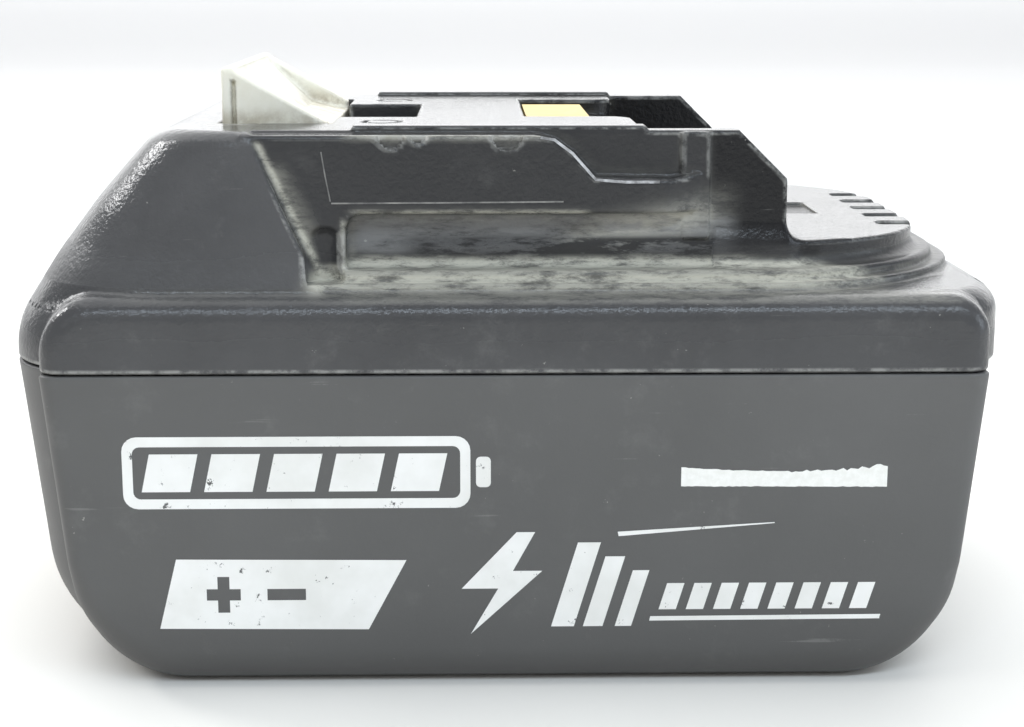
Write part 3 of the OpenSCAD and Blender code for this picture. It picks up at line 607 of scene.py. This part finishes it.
def skinned(name, f, xs, ys, zs, body, material, replaced, zones=None):
    """Object skinned from f, with wear on its convex edges and dust in its hollows."""
    points, quads = skin(f, xs, ys, zs)
    points = np.clip(points, *box_mm(replaced))
    value = f(*points.T)
    g = gradient(f, points, value)
    normals = g / np.maximum(np.linalg.norm(g, axis=1), 1e-6)[:, None]
    ob = to_object(name, points, quads, normals)
    edge = (f(*(points - normals * EDGE_REACH).T) + EDGE_REACH) / EDGE_REACH
    hollow = (HOLLOW_REACH - f(*(points + normals * HOLLOW_REACH).T)) / HOLLOW_REACH
    extra = zones(points, normals) if zones else {}
    paint(ob, "wear", edge * EDGE_GAIN * extra.get("wear", 1))
    paint(ob, "dust", hollow * extra.get("hollow", 1) + extra.get("dust", 0))
    for layer in ("gloss", "pale", "haze", "soot"):
        paint(ob, layer, np.zeros(len(points)) + extra.get(layer, 0))
    ob.data.materials.append(material)
    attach(ob, body)
    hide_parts(replaced)


# ---------------------------------------------------------------- materials
def socket_value(tree, socket, value):
    """Link a node output to the socket, or set the socket's own value."""
    if isinstance(value, bpy.types.NodeSocket):
        tree.links.new(value, socket)
    else:
        socket.default_value = value


class Finish:
    """A material and its node tree, with short calls for the nodes that recur."""

    def __init__(self, name, **principled):
        self.material = bpy.data.materials.new(name)
        self.material.use_nodes = True
        self.tree = self.material.node_tree
        self.shader = self.tree.nodes["Principled BSDF"]
        self.place = self.tree.nodes.new("ShaderNodeTexCoord").outputs["Object"]
        for key, value in principled.items():
            self.set(key.replace("_", " "), value)

    def set(self, name, value):
        socket_value(self.tree, self.shader.inputs[name], value)

    def node(self, kind, inputs, output=0, **settings):
        n = self.tree.nodes.new("ShaderNode" + kind)
        for key, value in settings.items():
            setattr(n, key, value)
        for key, value in inputs.items():
            socket_value(self.tree, n.inputs[key], value)
        return n.outputs[output]

    def noise(self, scale, detail=4.0, rough=0.6, stretch=(1, 1, 1)):
        """Noise whose scale is in features per millimetre."""
        where = self.node("Mapping", {"Vector": self.place, "Scale": tuple(s / MM for s in stretch)})
        inputs = {"Vector": where, "Scale": scale, "Detail": detail, "Roughness": rough}
        return self.node("TexNoise", inputs)

    def ramp(self, value, low, high, to_low=0.0, to_high=1.0):
        """Smooth step of the value from low to high."""
        inputs = {"Value": value, "From Min": low, "From Max": high, "To Min": to_low, "To Max": to_high}
        return self.node("MapRange", inputs, interpolation_type="SMOOTHSTEP")

    def math(self, operation, a, b=0.0):
        return self.node("Math", {0: a, 1: b}, operation=operation, use_clamp=operation != "SUBTRACT")

    def mix(self, factor, a, b):
        n = self.tree.nodes.new("ShaderNodeMix")
        n.data_type = "RGBA"
        socket_value(self.tree, n.inputs[0], factor)
        socket_value(self.tree, n.inputs[6], a)
        socket_value(self.tree, n.inputs[7], b)
        return n.outputs[2]

    def attribute(self, name):
        return self.node("Attribute", {}, output=2, attribute_name=name)

    def bump(self, height, distance_mm, strength=1.0, normal=None):
        inputs = {"Height": height, "Distance": distance_mm * MM, "Strength": strength}
        if normal is not None:
            inputs["Normal"] = normal
        return self.node("Bump", inputs)


def rgb(r, g, b):
    return (r, g, b, 1.0)


SMUDGE = rgb(0.22, 0.218, 0.21)
SCRATCH = rgb(0.34, 0.335, 0.32)
LIGHT_DOTS = rgb(0.38, 0.37, 0.34)
PALE_FILM = rgb(0.33, 0.335, 0.335)
BEIGE_DUST = rgb(0.50, 0.49, 0.42)
BLACK_SMEAR = rgb(0.016, 0.016, 0.017)
WORN_EDGE = rgb(0.42, 0.42, 0.40)


def case_finish(name, clean, film, rough, grain):
    """Charcoal moulded plastic: a grey film where it is handled, scuffs on edges, dust in hollows."""
    m = Finish(name, IOR=1.47, Specular_IOR_Level=0.32)
    clouds = m.noise(0.05, 6, 0.66)
    patches = m.noise(0.17, 6, 0.7)
    streaks = m.noise(0.42, 6, 0.72, (0.22, 1, 1))
    specks = m.noise(1.3, 3, 0.6)
    haze = m.math("MULTIPLY", m.attribute("haze"), m.ramp(clouds, 0.2, 0.75, 0.78, 1.12))
    colour = m.mix(haze, clean, film)
    smudge = m.math("MULTIPLY", m.ramp(patches, 0.55, 0.78), 0.30)
    colour = m.mix(m.math("MULTIPLY", smudge, haze), colour, SMUDGE)
    scratch = m.ramp(m.noise(0.55, 2, 0.5, (0.10, 1.0, 3.0)), 0.71, 0.75)
    scratch = m.math("MULTIPLY", scratch, m.ramp(patches, 0.48, 0.6))
    colour = m.mix(m.math("MULTIPLY", scratch, 0.22), colour, SCRATCH)
    dots = m.math("MULTIPLY", m.ramp(specks, 0.72, 0.76), m.ramp(patches, 0.45, 0.62))
    colour = m.mix(m.math("MULTIPLY", dots, 0.6), colour, LIGHT_DOTS)
    soot = m.math("MULTIPLY", m.attribute("soot"), m.ramp(streaks, 0.42, 0.54))
    pale = m.math("MULTIPLY", m.attribute("pale"), m.ramp(streaks, 0.30, 0.60))
    colour = m.mix(pale, colour, PALE_FILM)
    dust_patches = m.ramp(m.noise(0.75, 6, 0.78, (0.3, 1, 1)), 0.34, 0.58, 0.2, 1.0)
    dust = m.math("MULTIPLY", m.attribute("dust"), dust_patches)
    colour = m.mix(dust, colour, BEIGE_DUST)
    colour = m.mix(soot, colour, BLACK_SMEAR)
    worn_patches = m.ramp(m.noise(0.5, 5, 0.7), 0.36, 0.60)
    worn = m.math("MULTIPLY", m.ramp(m.attribute("wear"), 0.3, 0.95), worn_patches)
    colour = m.mix(m.math("MULTIPLY", worn, 0.55), colour, WORN_EDGE)
    m.set("Base Color", colour)
    roughness = m.ramp(clouds, 0.3, 0.7, rough - 0.05, rough + 0.06)
    roughness = m.math("SUBTRACT", roughness, m.math("MULTIPLY", m.attribute("gloss"), 0.3))
    dulled = m.math("MULTIPLY", m.math("MAXIMUM", dust, pale), 0.35)
    m.set("Roughness", m.math("ADD", roughness, dulled))
    fine = m.bump(m.noise(1.8, 3, 0.6), 0.09, grain)
    m.set("Normal", m.bump(patches, 0.05, 0.2, fine))
    return m.material


def simple(name, base, light, rough, scale=0.4, metallic=0.0, bump_mm=0.02, stretch=(1, 1, 1), **more):
    """Two-tone finish with uneven gloss and a light texture."""
    m = Finish(name, Metallic=metallic, **more)
    cloud = m.noise(scale, 5, 0.65, stretch)
    m.set("Base Color", m.mix(m.ramp(cloud, 0.32, 0.7), base, light))
    m.set("Roughness", m.ramp(cloud, 0.3, 0.7, rough, rough + 0.14))
    m.set("Normal", m.bump(m.noise(scale * 6, 3, 0.6, stretch), bump_mm, 0.5))
    return m.material


def latch_finish():
    """Yellowed cream plastic, darker brown low down and in its hollows."""
    m = Finish("cream_latch", IOR=1.46)
    cloud = m.noise(0.16, 5, 0.65)
    grime = m.noise(0.45, 6, 0.75)
    fresh = rgb(0.88, 0.86, 0.76)
    colour = m.mix(m.ramp(cloud, 0.3, 0.7), rgb(0.80, 0.77, 0.64), fresh)
    # Darker brown low on the hook and in its hollows
    low = m.math("MULTIPLY", m.attribute("pale"), m.ramp(grime, 0.30, 0.62))
    colour = m.mix(m.math("MULTIPLY", low, 0.6), colour, rgb(0.40, 0.34, 0.24))
    dust = m.math("MULTIPLY", m.attribute("dust"), m.ramp(grime, 0.36, 0.60))
    colour = m.mix(m.math("MULTIPLY", dust, 0.75), colour, rgb(0.26, 0.22, 0.15))
    worn = m.math("MULTIPLY", m.ramp(m.attribute("wear"), 0.3, 0.9), m.ramp(grime, 0.5, 0.7))
    colour = m.mix(m.math("MULTIPLY", worn, 0.3), colour, fresh)
    m.set("Base Color", colour)
    m.set("Roughness", m.ramp(grime, 0.3, 0.7, 0.38, 0.58))
    m.set("Normal", m.bump(grime, 0.03, 0.4))
    return m.material


def print_finish():
    """White ink, scuffed through in places."""
    m = Finish("white_ink", Specular_IOR_Level=0.4)
    chips = m.noise(0.7, 6, 0.75)
    smudge = m.noise(0.12, 4, 0.6)
    colour = m.mix(m.ramp(smudge, 0.3, 0.7), rgb(0.74, 0.74, 0.71), rgb(0.84, 0.84, 0.82))
    colour = m.mix(m.ramp(chips, 0.63, 0.67), colour, rgb(0.10, 0.10, 0.10))
    m.set("Base Color", colour)
    m.set("Roughness", m.ramp(smudge, 0.3, 0.7, 0.42, 0.6))
    m.set("Normal", m.bump(chips, 0.01, 0.4))
    return m.material


UPPER_FINISH = case_finish("charcoal_upper", rgb(0.009, 0.009, 0.010), rgb(0.092, 0.092, 0.094), 0.34, 0.9)
LOWER_FINISH = case_finish("charcoal_lower", rgb(0.066, 0.065, 0.064), rgb(0.126, 0.125, 0.123), 0.50, 0.2)
# Material slot: base colour, lighter tone, roughness, and what else differs from the plain finish
PLAIN = {
    "button_plastic": ((0.05, 0.05, 0.052), (0.07, 0.07, 0.072), 0.4, {}),
    "lens_plastic": ((0.55, 0.58, 0.60), (0.68, 0.70, 0.72), 0.18, {"Transmission_Weight": 0.5}),
    "terminal_plastic": ((0.60, 0.43, 0.12), (0.68, 0.51, 0.17), 0.42, {}),
    "holder_plastic": ((0.62, 0.61, 0.56), (0.70, 0.69, 0.65), 0.5, {}),
    "cell_sleeve": ((0.08, 0.30, 0.48), (0.11, 0.36, 0.55), 0.22, {"scale": 0.2}),
    "insulating_paper": ((0.78, 0.75, 0.66), (0.86, 0.84, 0.77), 0.8, {"scale": 2.0}),
    "foam": ((0.03, 0.03, 0.032), (0.05, 0.05, 0.052), 0.85, {"scale": 2.5, "bump_mm": 0.15}),
    "nickel": ((0.60, 0.58, 0.54), (0.70, 0.68, 0.64), 0.24,
               {"scale": 0.5, "metallic": 1.0, "stretch": (0.1, 1, 1)}),
    "steel": ((0.30, 0.30, 0.31), (0.42, 0.42, 0.43), 0.3, {"scale": 0.6, "metallic": 1.0}),
    "contact_copper": ((0.62, 0.38, 0.22), (0.72, 0.50, 0.32), 0.28, {"scale": 0.6, "metallic": 1.0}),
    "board_laminate": ((0.015, 0.12, 0.05), (0.03, 0.18, 0.08), 0.3, {"scale": 0.8}),
    "chip_plastic": ((0.02, 0.02, 0.022), (0.035, 0.035, 0.037), 0.5, {"scale": 1.5}),
    "lamp_plastic": ((0.70, 0.68, 0.50), (0.80, 0.78, 0.62), 0.2, {"scale": 0.6}),
    "wire_sleeve": ((0.35, 0.04, 0.03), (0.45, 0.06, 0.05), 0.45, {"scale": 0.8}),
    "torn_paper": ((0.80, 0.80, 0.76), (0.88, 0.88, 0.85), 0.7, {"scale": 1.2}),
    # Painted highlight: light bluish grey for the line along the flanges' stepped edge
    "painted_edge_highlight": ((0.16, 0.16, 0.165), (0.62, 0.63, 0.65), 0.3, {"scale": 0.6}),
    "worn_line": ((0.09, 0.09, 0.09), (0.26, 0.255, 0.24), 0.4, {"scale": 0.5}),
}
FINISHES = {name: simple(name, rgb(*base), rgb(*light), rough, **more)
            for name, (base, light, rough, more) in PLAIN.items()}
FINISHES["latch_plastic"] = latch_finish()
FINISHES["case_plastic"] = LOWER_FINISH
INK = print_finish()

for part in frame["record"]["subparts"]:
    ob = frame["nodes"][part["node"]]
    ob.data.materials.clear()
    ob.data.materials.append(FINISHES[part["material_slot"]])


# ---------------------------------------------------------------- the skinned pieces
def smooth(v, low, high):
    """Smooth step from 0 at low to 1 at high."""
    t = np.clip((v - low) / (high - low), 0, 1)
    return t * t * (3 - 2 * t)


def band(v, low, high, soft=0.4):
    """1 between low and high, 0 outside, with soft ends."""
    return smooth(v, low - soft / 2, low + soft / 2) * (1 - smooth(v, high - soft / 2, high + soft / 2))


def ridge(v, centre, width):
    """Bell curve round the centre."""
    return np.exp(-((v - centre) / width) ** 2)


def upper_zones(p, n):
    """Where dust lies, where the plastic is rubbed pale or smeared black, and where it is glossy."""
    x, y, z = p.T
    ay = np.abs(y)
    step = crease_side(x, z)
    side = smooth(ay, 29.2, 30)
    # Ledges under the rails
    ledge = side * band(z, 44.2, 46.4, 0.5) * band(ay, WEB_Y - 0.2, 34.9, 0.5) * smooth(x, -24, -21)
    ledge *= 1 - 0.35 * smooth(x, 26, 46)
    strip = side * ridge(z, 46.35, 0.35) * band(x, -19, 44, 2)
    low_wall = side * band(z, 46.2, 47.2, 0.6) * band(x, -19, 24, 3) * 0.55
    # Inside the groove: grey film above, black smears below
    groove = band(ay, 29.6, 31.0, 0.6) * band(z, 47.4, 51.4, 1.2) * band(x, -19.6, 22, 3)
    smears = band(ay, 29.2, 31.0, 0.6) * band(z, 47.0, 49.2, 0.8) * band(x, -13, 36, 4)
    smear_dust = band(ay, 29.8, 33, 0.3) * ridge(z, 50.6 + 0.25 * (x - 14), 1.9) * band(x, 4, 20, 8)
    # Crease, and the corner where it meets the ledge
    crease = ridge(step, 0.55, 0.35) * smooth(ay, 29.5, 31) * band(z, 44.6, 59.6, 0.8)
    fan = (1 - smooth(step, 0.6, 3.2)) * smooth(step, 0.3, 0.8)
    fan *= smooth(ay, 31.5, 32.4) * band(z, 47, 57, 3) * 0.32
    foot = np.exp(-(((x + 22.9) / 1.2) ** 2 + ((z - 44.7) / 0.9) ** 2)) * smooth(ay, 31, 32)
    # Beige edge line round the groove mouth
    mouth = ridge(z, RAIL_UNDER + 0.15, 0.3) * band(x, -19, 6, 2)
    mouth += ridge(x, GROOVE_X - 0.1, 0.32) * band(z, 45.8, 51.2, 0.8)
    mouth *= band(ay, 31.2, 33.2, 0.4)
    top_rub = band(ay, 31.9, 33, 0.3) * band(x, -20, 2.5, 2) * smooth(z, DECK_Z - 1.1, DECK_Z - 0.5)
    latch_dirt = np.exp(-(((x + 33) / 3.5) ** 2 + ((ay - 21.5) / 2.5) ** 2)) * smooth(z, 58.5, 60)
    belt_dust = band(z, 42.9, 44.2, 0.5) * smooth(ay, 31, 33) * band(x, -44, 46, 4)
    belt_dust *= 0.06 + 0.16 * smooth(x, -24, -18)
    shore = side * band(x, 36, 47.5, 2) * ridge(z, 45.9, 0.9) * 0.6
    dent = sum(np.exp(-(np.hypot(x - rx, z - DECK_Z + 0.2) / r) ** 4) for rx, r in DENTS)
    dent *= smooth(ay, 31.8, 32.1)
    dust = 0.62 * ledge + 0.5 * strip + 0.6 * low_wall + 0.5 * smear_dust + 0.8 * crease + fan + 0.9 * foot
    dust += 0.62 * mouth + 0.5 * top_rub + 0.6 * latch_dirt + belt_dust + 0.7 * shore + 0.12 * dent
    pale = 0.42 * groove + 0.2 * smear_dust
    soot = 0.95 * smears
    # Grey film from handling: strongest on the shoulder and slope, none at the rail ends
    slope_side = 1 - smooth(step, -0.4, 0.2)
    haze = 0.75 - 0.1 * smooth(z, 36, 43)
    haze = np.where(z > 44.2, 0.30 + 0.52 * slope_side, haze)
    haze *= 1 - 0.95 * band(x, 19.5, 40, 1) * smooth(z, 47.5, 49.5) * smooth(ay, 28, 30)
    haze *= 1 - 0.9 * (smooth(x, 0.2, 1.2) * (1 - smooth(ay, 29.5, 30)) * smooth(z, 48.8, 49.2))
    # Polished by use: the shoulder, the tops of the steps, the upper walls and the slope
    facing_up = n[:, 2].clip(0, 1)
    gloss = 0.8 * smooth(z, 38, 41) * (1 - smooth(z, 43.9, 44.4)) + 0.75 * smooth(z, 48.3, 48.5) * facing_up
    on_slope = (1 - smooth(x, -40, -34)) * smooth(z, 46, 52)
    gloss += 0.4 * smooth(z, 46.5, 48) * (1 - facing_up) + 0.35 * on_slope
    # How much dust the hollows hold, and how much the edges are worn
    hollow = 0.12 + 0.23 * smooth(x, -26, -20)
    hollow += 0.5 * side * band(z, 43.8, 47, 0.6) * smooth(x, -24, -20) - 0.25 * smooth(z, 52.5, 54)
    wear = 1 - 0.85 * (1 - smooth(x, -32, -27)) * smooth(z, 36.5, 38) * (1 - smooth(ay, 36.3, 36.9))
    on_pod = smooth(x, 50.5, 52.5)
    hollow *= 1 - 0.75 * on_pod
    wear *= 1 - 0.6 * on_pod
    return {"dust": dust, "pale": pale, "gloss": gloss, "haze": haze, "soot": soot,
            "hollow": hollow, "wear": wear}


def lower_zones(p, n):
    """Grey film on the lower case, lighter on the upper part and towards the rear and darker towards the
    bottom: painted light and shade.
    """
    x, y, z = p.T
    # Painted light and shade: more film higher up and towards the rear, less on the rounded bottom
    haze = 0.70 - 0.45 * (1 - smooth(z, 0, 13)) + 0.2 * smooth(x, 5, 40) * smooth(z, 14, 30)
    return {"haze": haze, "gloss": 0.25 * (1 - smooth(z, 0, 8)), "hollow": 0.2, "wear": 0.3}


def latch_zones(p, n):
    """Darker low on the hook."""
    z = p[:, 2]
    return {"pale": 1 - smooth(z, DECK_Z + 0.2, DECK_Z + 2.2), "hollow": 0.6}


COARSE = 1.0
skinned("lower_shell", lower_case,
        steps((-58.5, -50, 0.8 * COARSE), (-50, 47, 1.3 * COARSE), (47, 53.6, 0.8 * COARSE)),
        steps((-38.2, -34, 0.4 * COARSE), (-34, 34, 1.2 * COARSE), (34, 38.2, 0.4 * COARSE)),
        steps((-1, 3.2, 0.45 * COARSE), (3.2, 34, 1.0 * COARSE), (34, 36, 0.16)),
        "pack", LOWER_FINISH, "lower_case", lower_zones)
skinned("upper_shell", upper_case,
        steps((-58.5, -31, 0.6 * COARSE), (-31, -20.5, 0.32 * COARSE), (-20.5, 58.6, 0.5 * COARSE)),
        steps((-38.4, -27, 0.36 * COARSE), (-27, 27, 0.6 * COARSE), (27, 38.4, 0.36 * COARSE)),
        steps((34.6, 36.2, 0.16), (36.2, 43, 0.5 * COARSE), (43, 47.5, 0.3 * COARSE),
              (47.5, 60, 0.4 * COARSE), (60, 62, 0.2)),
        "pack", UPPER_FINISH, "upper_case", upper_zones)
skinned("latch_body", latch,
        steps((-54.5, -22, 0.35 * COARSE)),
        steps((-23, -16, 0.35 * COARSE), (-16, 16, 0.6 * COARSE), (16, 23, 0.35 * COARSE)),
        steps((39.6, 68, 0.35 * COARSE)),
        "latch", FINISHES["latch_plastic"], "latch", latch_zones)
skinned("gauge_button_cap", gauge_button,
        steps((53.2, 58, 0.14)), steps((2, 8, 0.14)), steps((35.8, 40, 0.14)),
        "gauge_button", FINISHES["button_plastic"], "gauge_button")
skinned("gauge_light_guide", gauge_lens,
        steps((54.6, 58, 0.14)), steps((-8.4, 1.8, 0.14)), steps((35.8, 40, 0.14)),
        "pack", FINISHES["lens_plastic"], "gauge_lens")


# ---------------------------------------------------------------- marks on the sides
SUNK = 0.06
PROUD = 0.03


def flat_piece(name, shapes, face_y, side, material):
    """Thin closed plates on a side face; each shape is an outline and its holes, as (x, z) pairs."""
    low, high = side * (face_y - SUNK), side * (face_y + PROUD)
    verts, faces = [], []
    for loops in shapes:
        flat = [Vector((px, pz, 0)) for loop in loops for px, pz in loop]
        start, n = len(verts), len(flat)
        verts += [(v.x, high, v.y) for v in flat] + [(v.x, low, v.y) for v in flat]
        for a, b, c in tessellate_polygon([[Vector((px, pz, 0)) for px, pz in loop] for loop in loops]):
            faces += [(start + a, start + b, start + c), (start + n + c, start + n + b, start + n + a)]
        first = start
        for loop in loops:
            for k in range(len(loop)):
                a, b = first + k, first + (k + 1) % len(loop)
                faces.append((a, b, b + n, a + n))
            first += len(loop)
    mesh = bpy.data.meshes.new(name)
    mesh.from_pydata([tuple(c * MM for c in v) for v in verts], [], faces)
    sheet = bmesh.new()
    sheet.from_mesh(mesh)
    bmesh.ops.recalc_face_normals(sheet, faces=sheet.faces)
    sheet.to_mesh(mesh)
    sheet.free()
    ob = bpy.data.objects.new(name, mesh)
    bpy.context.scene.collection.objects.link(ob)
    mesh.materials.append(material)
    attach(ob, "pack")


def slanted(x, z, w, h, lean=0.22):
    """Leaning bar with its lower left corner at x, z."""
    return [(x, z), (x + w, z), (x + w + h * lean, z + h), (x + h * lean, z + h)]


def rounded(x0, z0, x1, z1, r, n=6):
    """Rectangle with round corners."""
    turn = [(math.cos(a), math.sin(a)) for a in np.linspace(0, math.pi / 2, n)]
    corners = [(x1 - r, z1 - r, 1, 1), (x0 + r, z1 - r, -1, 1),
               (x0 + r, z0 + r, -1, -1), (x1 - r, z0 + r, 1, -1)]
    points = []
    for cx, cz, sx, sz in corners:
        arc = [(cx + sx * r * c, cz + sz * r * d) for c, d in turn]
        points += arc if sx * sz > 0 else arc[::-1]
    return points


def print_shapes():
    """Generic marks: a charge gauge, a band with plus and minus, a bolt, bars and rules."""
    shapes = [[rounded(-44, 20.6, -6.6, 28.6, 1.6), rounded(-42.9, 21.7, -7.7, 27.5, 0.8)],
              [rounded(-6.0, 22.9, -4.4, 26.3, 0.5)]]
    shapes += [[slanted(-42.0 + 6.7 * k, 22.5, 5.2, 4.2)] for k in range(5)]
    plus = [(-35.4, 10.2), (-34.2, 10.2), (-34.2, 8.8), (-32.9, 8.8), (-32.9, 10.2), (-31.7, 10.2),
            (-31.7, 11.5), (-32.9, 11.5), (-32.9, 12.9), (-34.2, 12.9), (-34.2, 11.5), (-35.4, 11.5)]
    minus = [(-28.8, 10.2), (-24.6, 10.2), (-24.6, 11.5), (-28.8, 11.5)]
    shapes.append([[(-40.6, 7.0), (-17.8, 6.8), (-13.6, 14.7), (-38.6, 14.9)], plus, minus])
    bolt = [(-7.6, 11.4), (-1.6, 17.8), (0.4, 17.8), (-2.0, 13.4), (1.2, 13.4), (-6.6, 6.2), (-3.6, 11.4)]
    shapes.append([bolt])
    shapes += [[slanted(2.2 + 3.5 * k, 7.0, 2.5 - 0.35 * k, 9.6 - 1.6 * k, 0.3)] for k in range(3)]
    shapes += [[slanted(14.0 + 3.0 * k, 8.9, 1.9, 3.0, 0.3)] for k in range(8)]
    shapes.append([[(13.0, 7.6), (38.4, 7.7), (38.5, 8.2), (13.1, 8.1)]])
    shapes.append([[(9.5, 17.3), (26.5, 18.7), (26.5, 18.8), (9.4, 17.8)]])
    return shapes


def torn_strip():
    """What is left of a torn paper label."""
    rng = np.random.default_rng(7)
    start, length, foot, head = 16.2, 22.4, 22.9, 25.0
    xs = np.linspace(start, 38.6, 57)
    dip = 0.45 * np.sin((xs - start) / length * math.pi)
    rough_tear = rng.normal(0, 0.10, len(xs))
    fine_tear = rng.normal(0, 0.03, len(xs))
    top = head - dip + np.where((xs > 27) & (xs < 37), rough_tear, fine_tear)
    top = top + 0.35 * np.exp(-((xs - 37.6) / 0.7) ** 2)
    bottom = foot - 0.15 * (xs - start) / length + rng.normal(0, 0.025, len(xs))
    return list(zip(xs, bottom)) + list(zip(xs[::-1], top[::-1]))


def line(points, width):
    """Thin closed outline that follows the points."""
    pts = np.array(points, dtype=float)
    way = np.gradient(pts, axis=0)
    way /= np.linalg.norm(way, axis=1)[:, None]
    off = np.stack([-way[:, 1], way[:, 0]], axis=1) * width / 2
    return [tuple(v) for v in pts + off] + [tuple(v) for v in (pts - off)[::-1]]


def mirrored(shapes):
    """The same marks for the far side, so that they read from there."""
    middle = PANEL_X[0] + PANEL_X[1]
    return [[[(middle - px, pz) for px, pz in loop] for loop in loops] for loops in shapes]


flat_piece("side_print_near", print_shapes(), PANEL_Y, -1, INK)
flat_piece("side_print_far", mirrored(print_shapes()), PANEL_Y, 1, INK)
flat_piece("torn_label_near", [[torn_strip()]], PANEL_Y, -1, FINISHES["torn_paper"])
# Fine lines on the flanges: the mould line, and a painted highlight along the edge where the top steps down
MOULD_LINE = [[line([(-22.4, 58.6), (-22.0, 56), (-21.5, 53.3)], 0.14)],
              [line([(-21.4, 53.1), (-9, 53.15), (3.5, 53.25)], 0.16)]]
# Painted highlight: a light strip along the flange's rounded edge where the top steps down
HIGHLIGHT_PATH = [(1.0, 60.1), (2.5, 59.85), (4.45, 58.4), (6.95, 55.6), (10, 55.35), (13.8, 55.35)]
RAIL_HIGHLIGHT = [[line(HIGHLIGHT_PATH, 0.3)]]
for where, sign in (("near", -1), ("far", 1)):
    flat_piece(f"mould_line_{where}", MOULD_LINE, RAIL_Y, sign, FINISHES["worn_line"])
    flat_piece(f"rail_highlight_{where}", RAIL_HIGHLIGHT, RAIL_Y, sign, FINISHES["painted_edge_highlight"])


# ---------------------------------------------------------------- camera, floor and light
camera_data = bpy.data.cameras.new("camera")
camera_data.sensor_width = 36
camera_data.lens = 64.58
camera_data.clip_start = 0.01
camera_data.clip_end = 20
camera = bpy.data.objects.new("camera", camera_data)
camera.location = (-0.00619, -0.22895, 0.07703)
camera.rotation_euler = (math.pi / 2 - 0.2083, -0.00105, -0.0210)
bpy.context.scene.collection.objects.link(camera)
bpy.context.scene.camera = camera


def floor_and_backdrop():
    """A pale floor, in metres, that curves up behind the pack, darkened towards the back by painted shade;
    the wall glows as a lit one does.
    """
    half, back, rise, bend = 2.5, 1.3, 1.6, 0.5
    arc = [(back + bend * math.sin(a), bend - bend * math.cos(a)) for a in np.linspace(0, math.pi / 2, 13)]
    profile = [(-2.5, 0.0)] + arc + [(back + bend, rise + bend)]
    points = np.array([(s * half, y, z) for y, z in profile for s in (-1, 1)]) / MM
    points[:, 2] -= 0.02
    quads = np.array([(2 * i, 2 * i + 1, 2 * i + 3, 2 * i + 2) for i in range(len(profile) - 1)])
    ob = to_object("floor", points, quads)
    m = Finish("pale_floor", Roughness=0.6, Specular_IOR_Level=0.25)
    near = m.mix(m.noise(0.02, 3, 0.5), rgb(0.82, 0.80, 0.755), rgb(0.86, 0.84, 0.795))
    depth = m.node("SeparateXYZ", {"Vector": m.place}, output=1)
    height = m.node("SeparateXYZ", {"Vector": m.place}, output=2)
    # Painted shade: the floor's colour darkens towards the back, where less light reaches it
    m.set("Base Color", m.mix(m.ramp(depth, -0.1, 0.6), near, rgb(0.63, 0.63, 0.63)))
    m.set("Emission Color", rgb(1, 1, 1))
    m.set("Emission Strength", m.ramp(height, 0.0, 0.32, 0.0, 1.75))
    ob.data.materials.append(m.material)


def area_light(name, place, target, size, radiance, colour=(1, 1, 1)):
    """Soft panel of the given brightness that the camera doesn't see."""
    data = bpy.data.lights.new(name, "AREA")
    data.shape = "RECTANGLE"
    data.size, data.size_y = size
    data.energy = radiance * math.pi * size[0] * size[1]
    data.color = colour
    ob = bpy.data.objects.new(name, data)
    ob.location = place
    ob.rotation_euler = Vector(np.array(target) - np.array(place)).to_track_quat("-Z", "Y").to_euler()
    ob.visible_camera = False
    bpy.context.scene.collection.objects.link(ob)


floor_and_backdrop()
MIDDLE = (0, 0, 0.035)
area_light("top_light", (-0.1, 0.3, 1.4), MIDDLE, (1.8, 1.6), 1.65)
area_light("front_fill", (-0.4, -1.2, 0.75), MIDDLE, (1.8, 0.8), 0.45)
area_light("right_light", (1.15, -0.22, 0.30), MIDDLE, (0.5, 0.4), 3.5, (0.78, 0.88, 1.0))
area_light("window", (0.25, -0.85, 0.95), MIDDLE, (1.7, 0.16), 11.0, (0.76, 0.88, 1.0))
area_light("rim_light", (-1.02, 0.50, 0.75), MIDDLE, (0.26, 0.26), 24.0)

world = bpy.data.worlds.new("studio")
world.use_nodes = True
background = world.node_tree.nodes["Background"]
background.inputs["Color"].default_value = rgb(0.95, 0.97, 1.0)
background.inputs["Strength"].default_value = 0.45
bpy.context.scene.world = world
bpy.context.scene.view_settings.view_transform = "Standard"
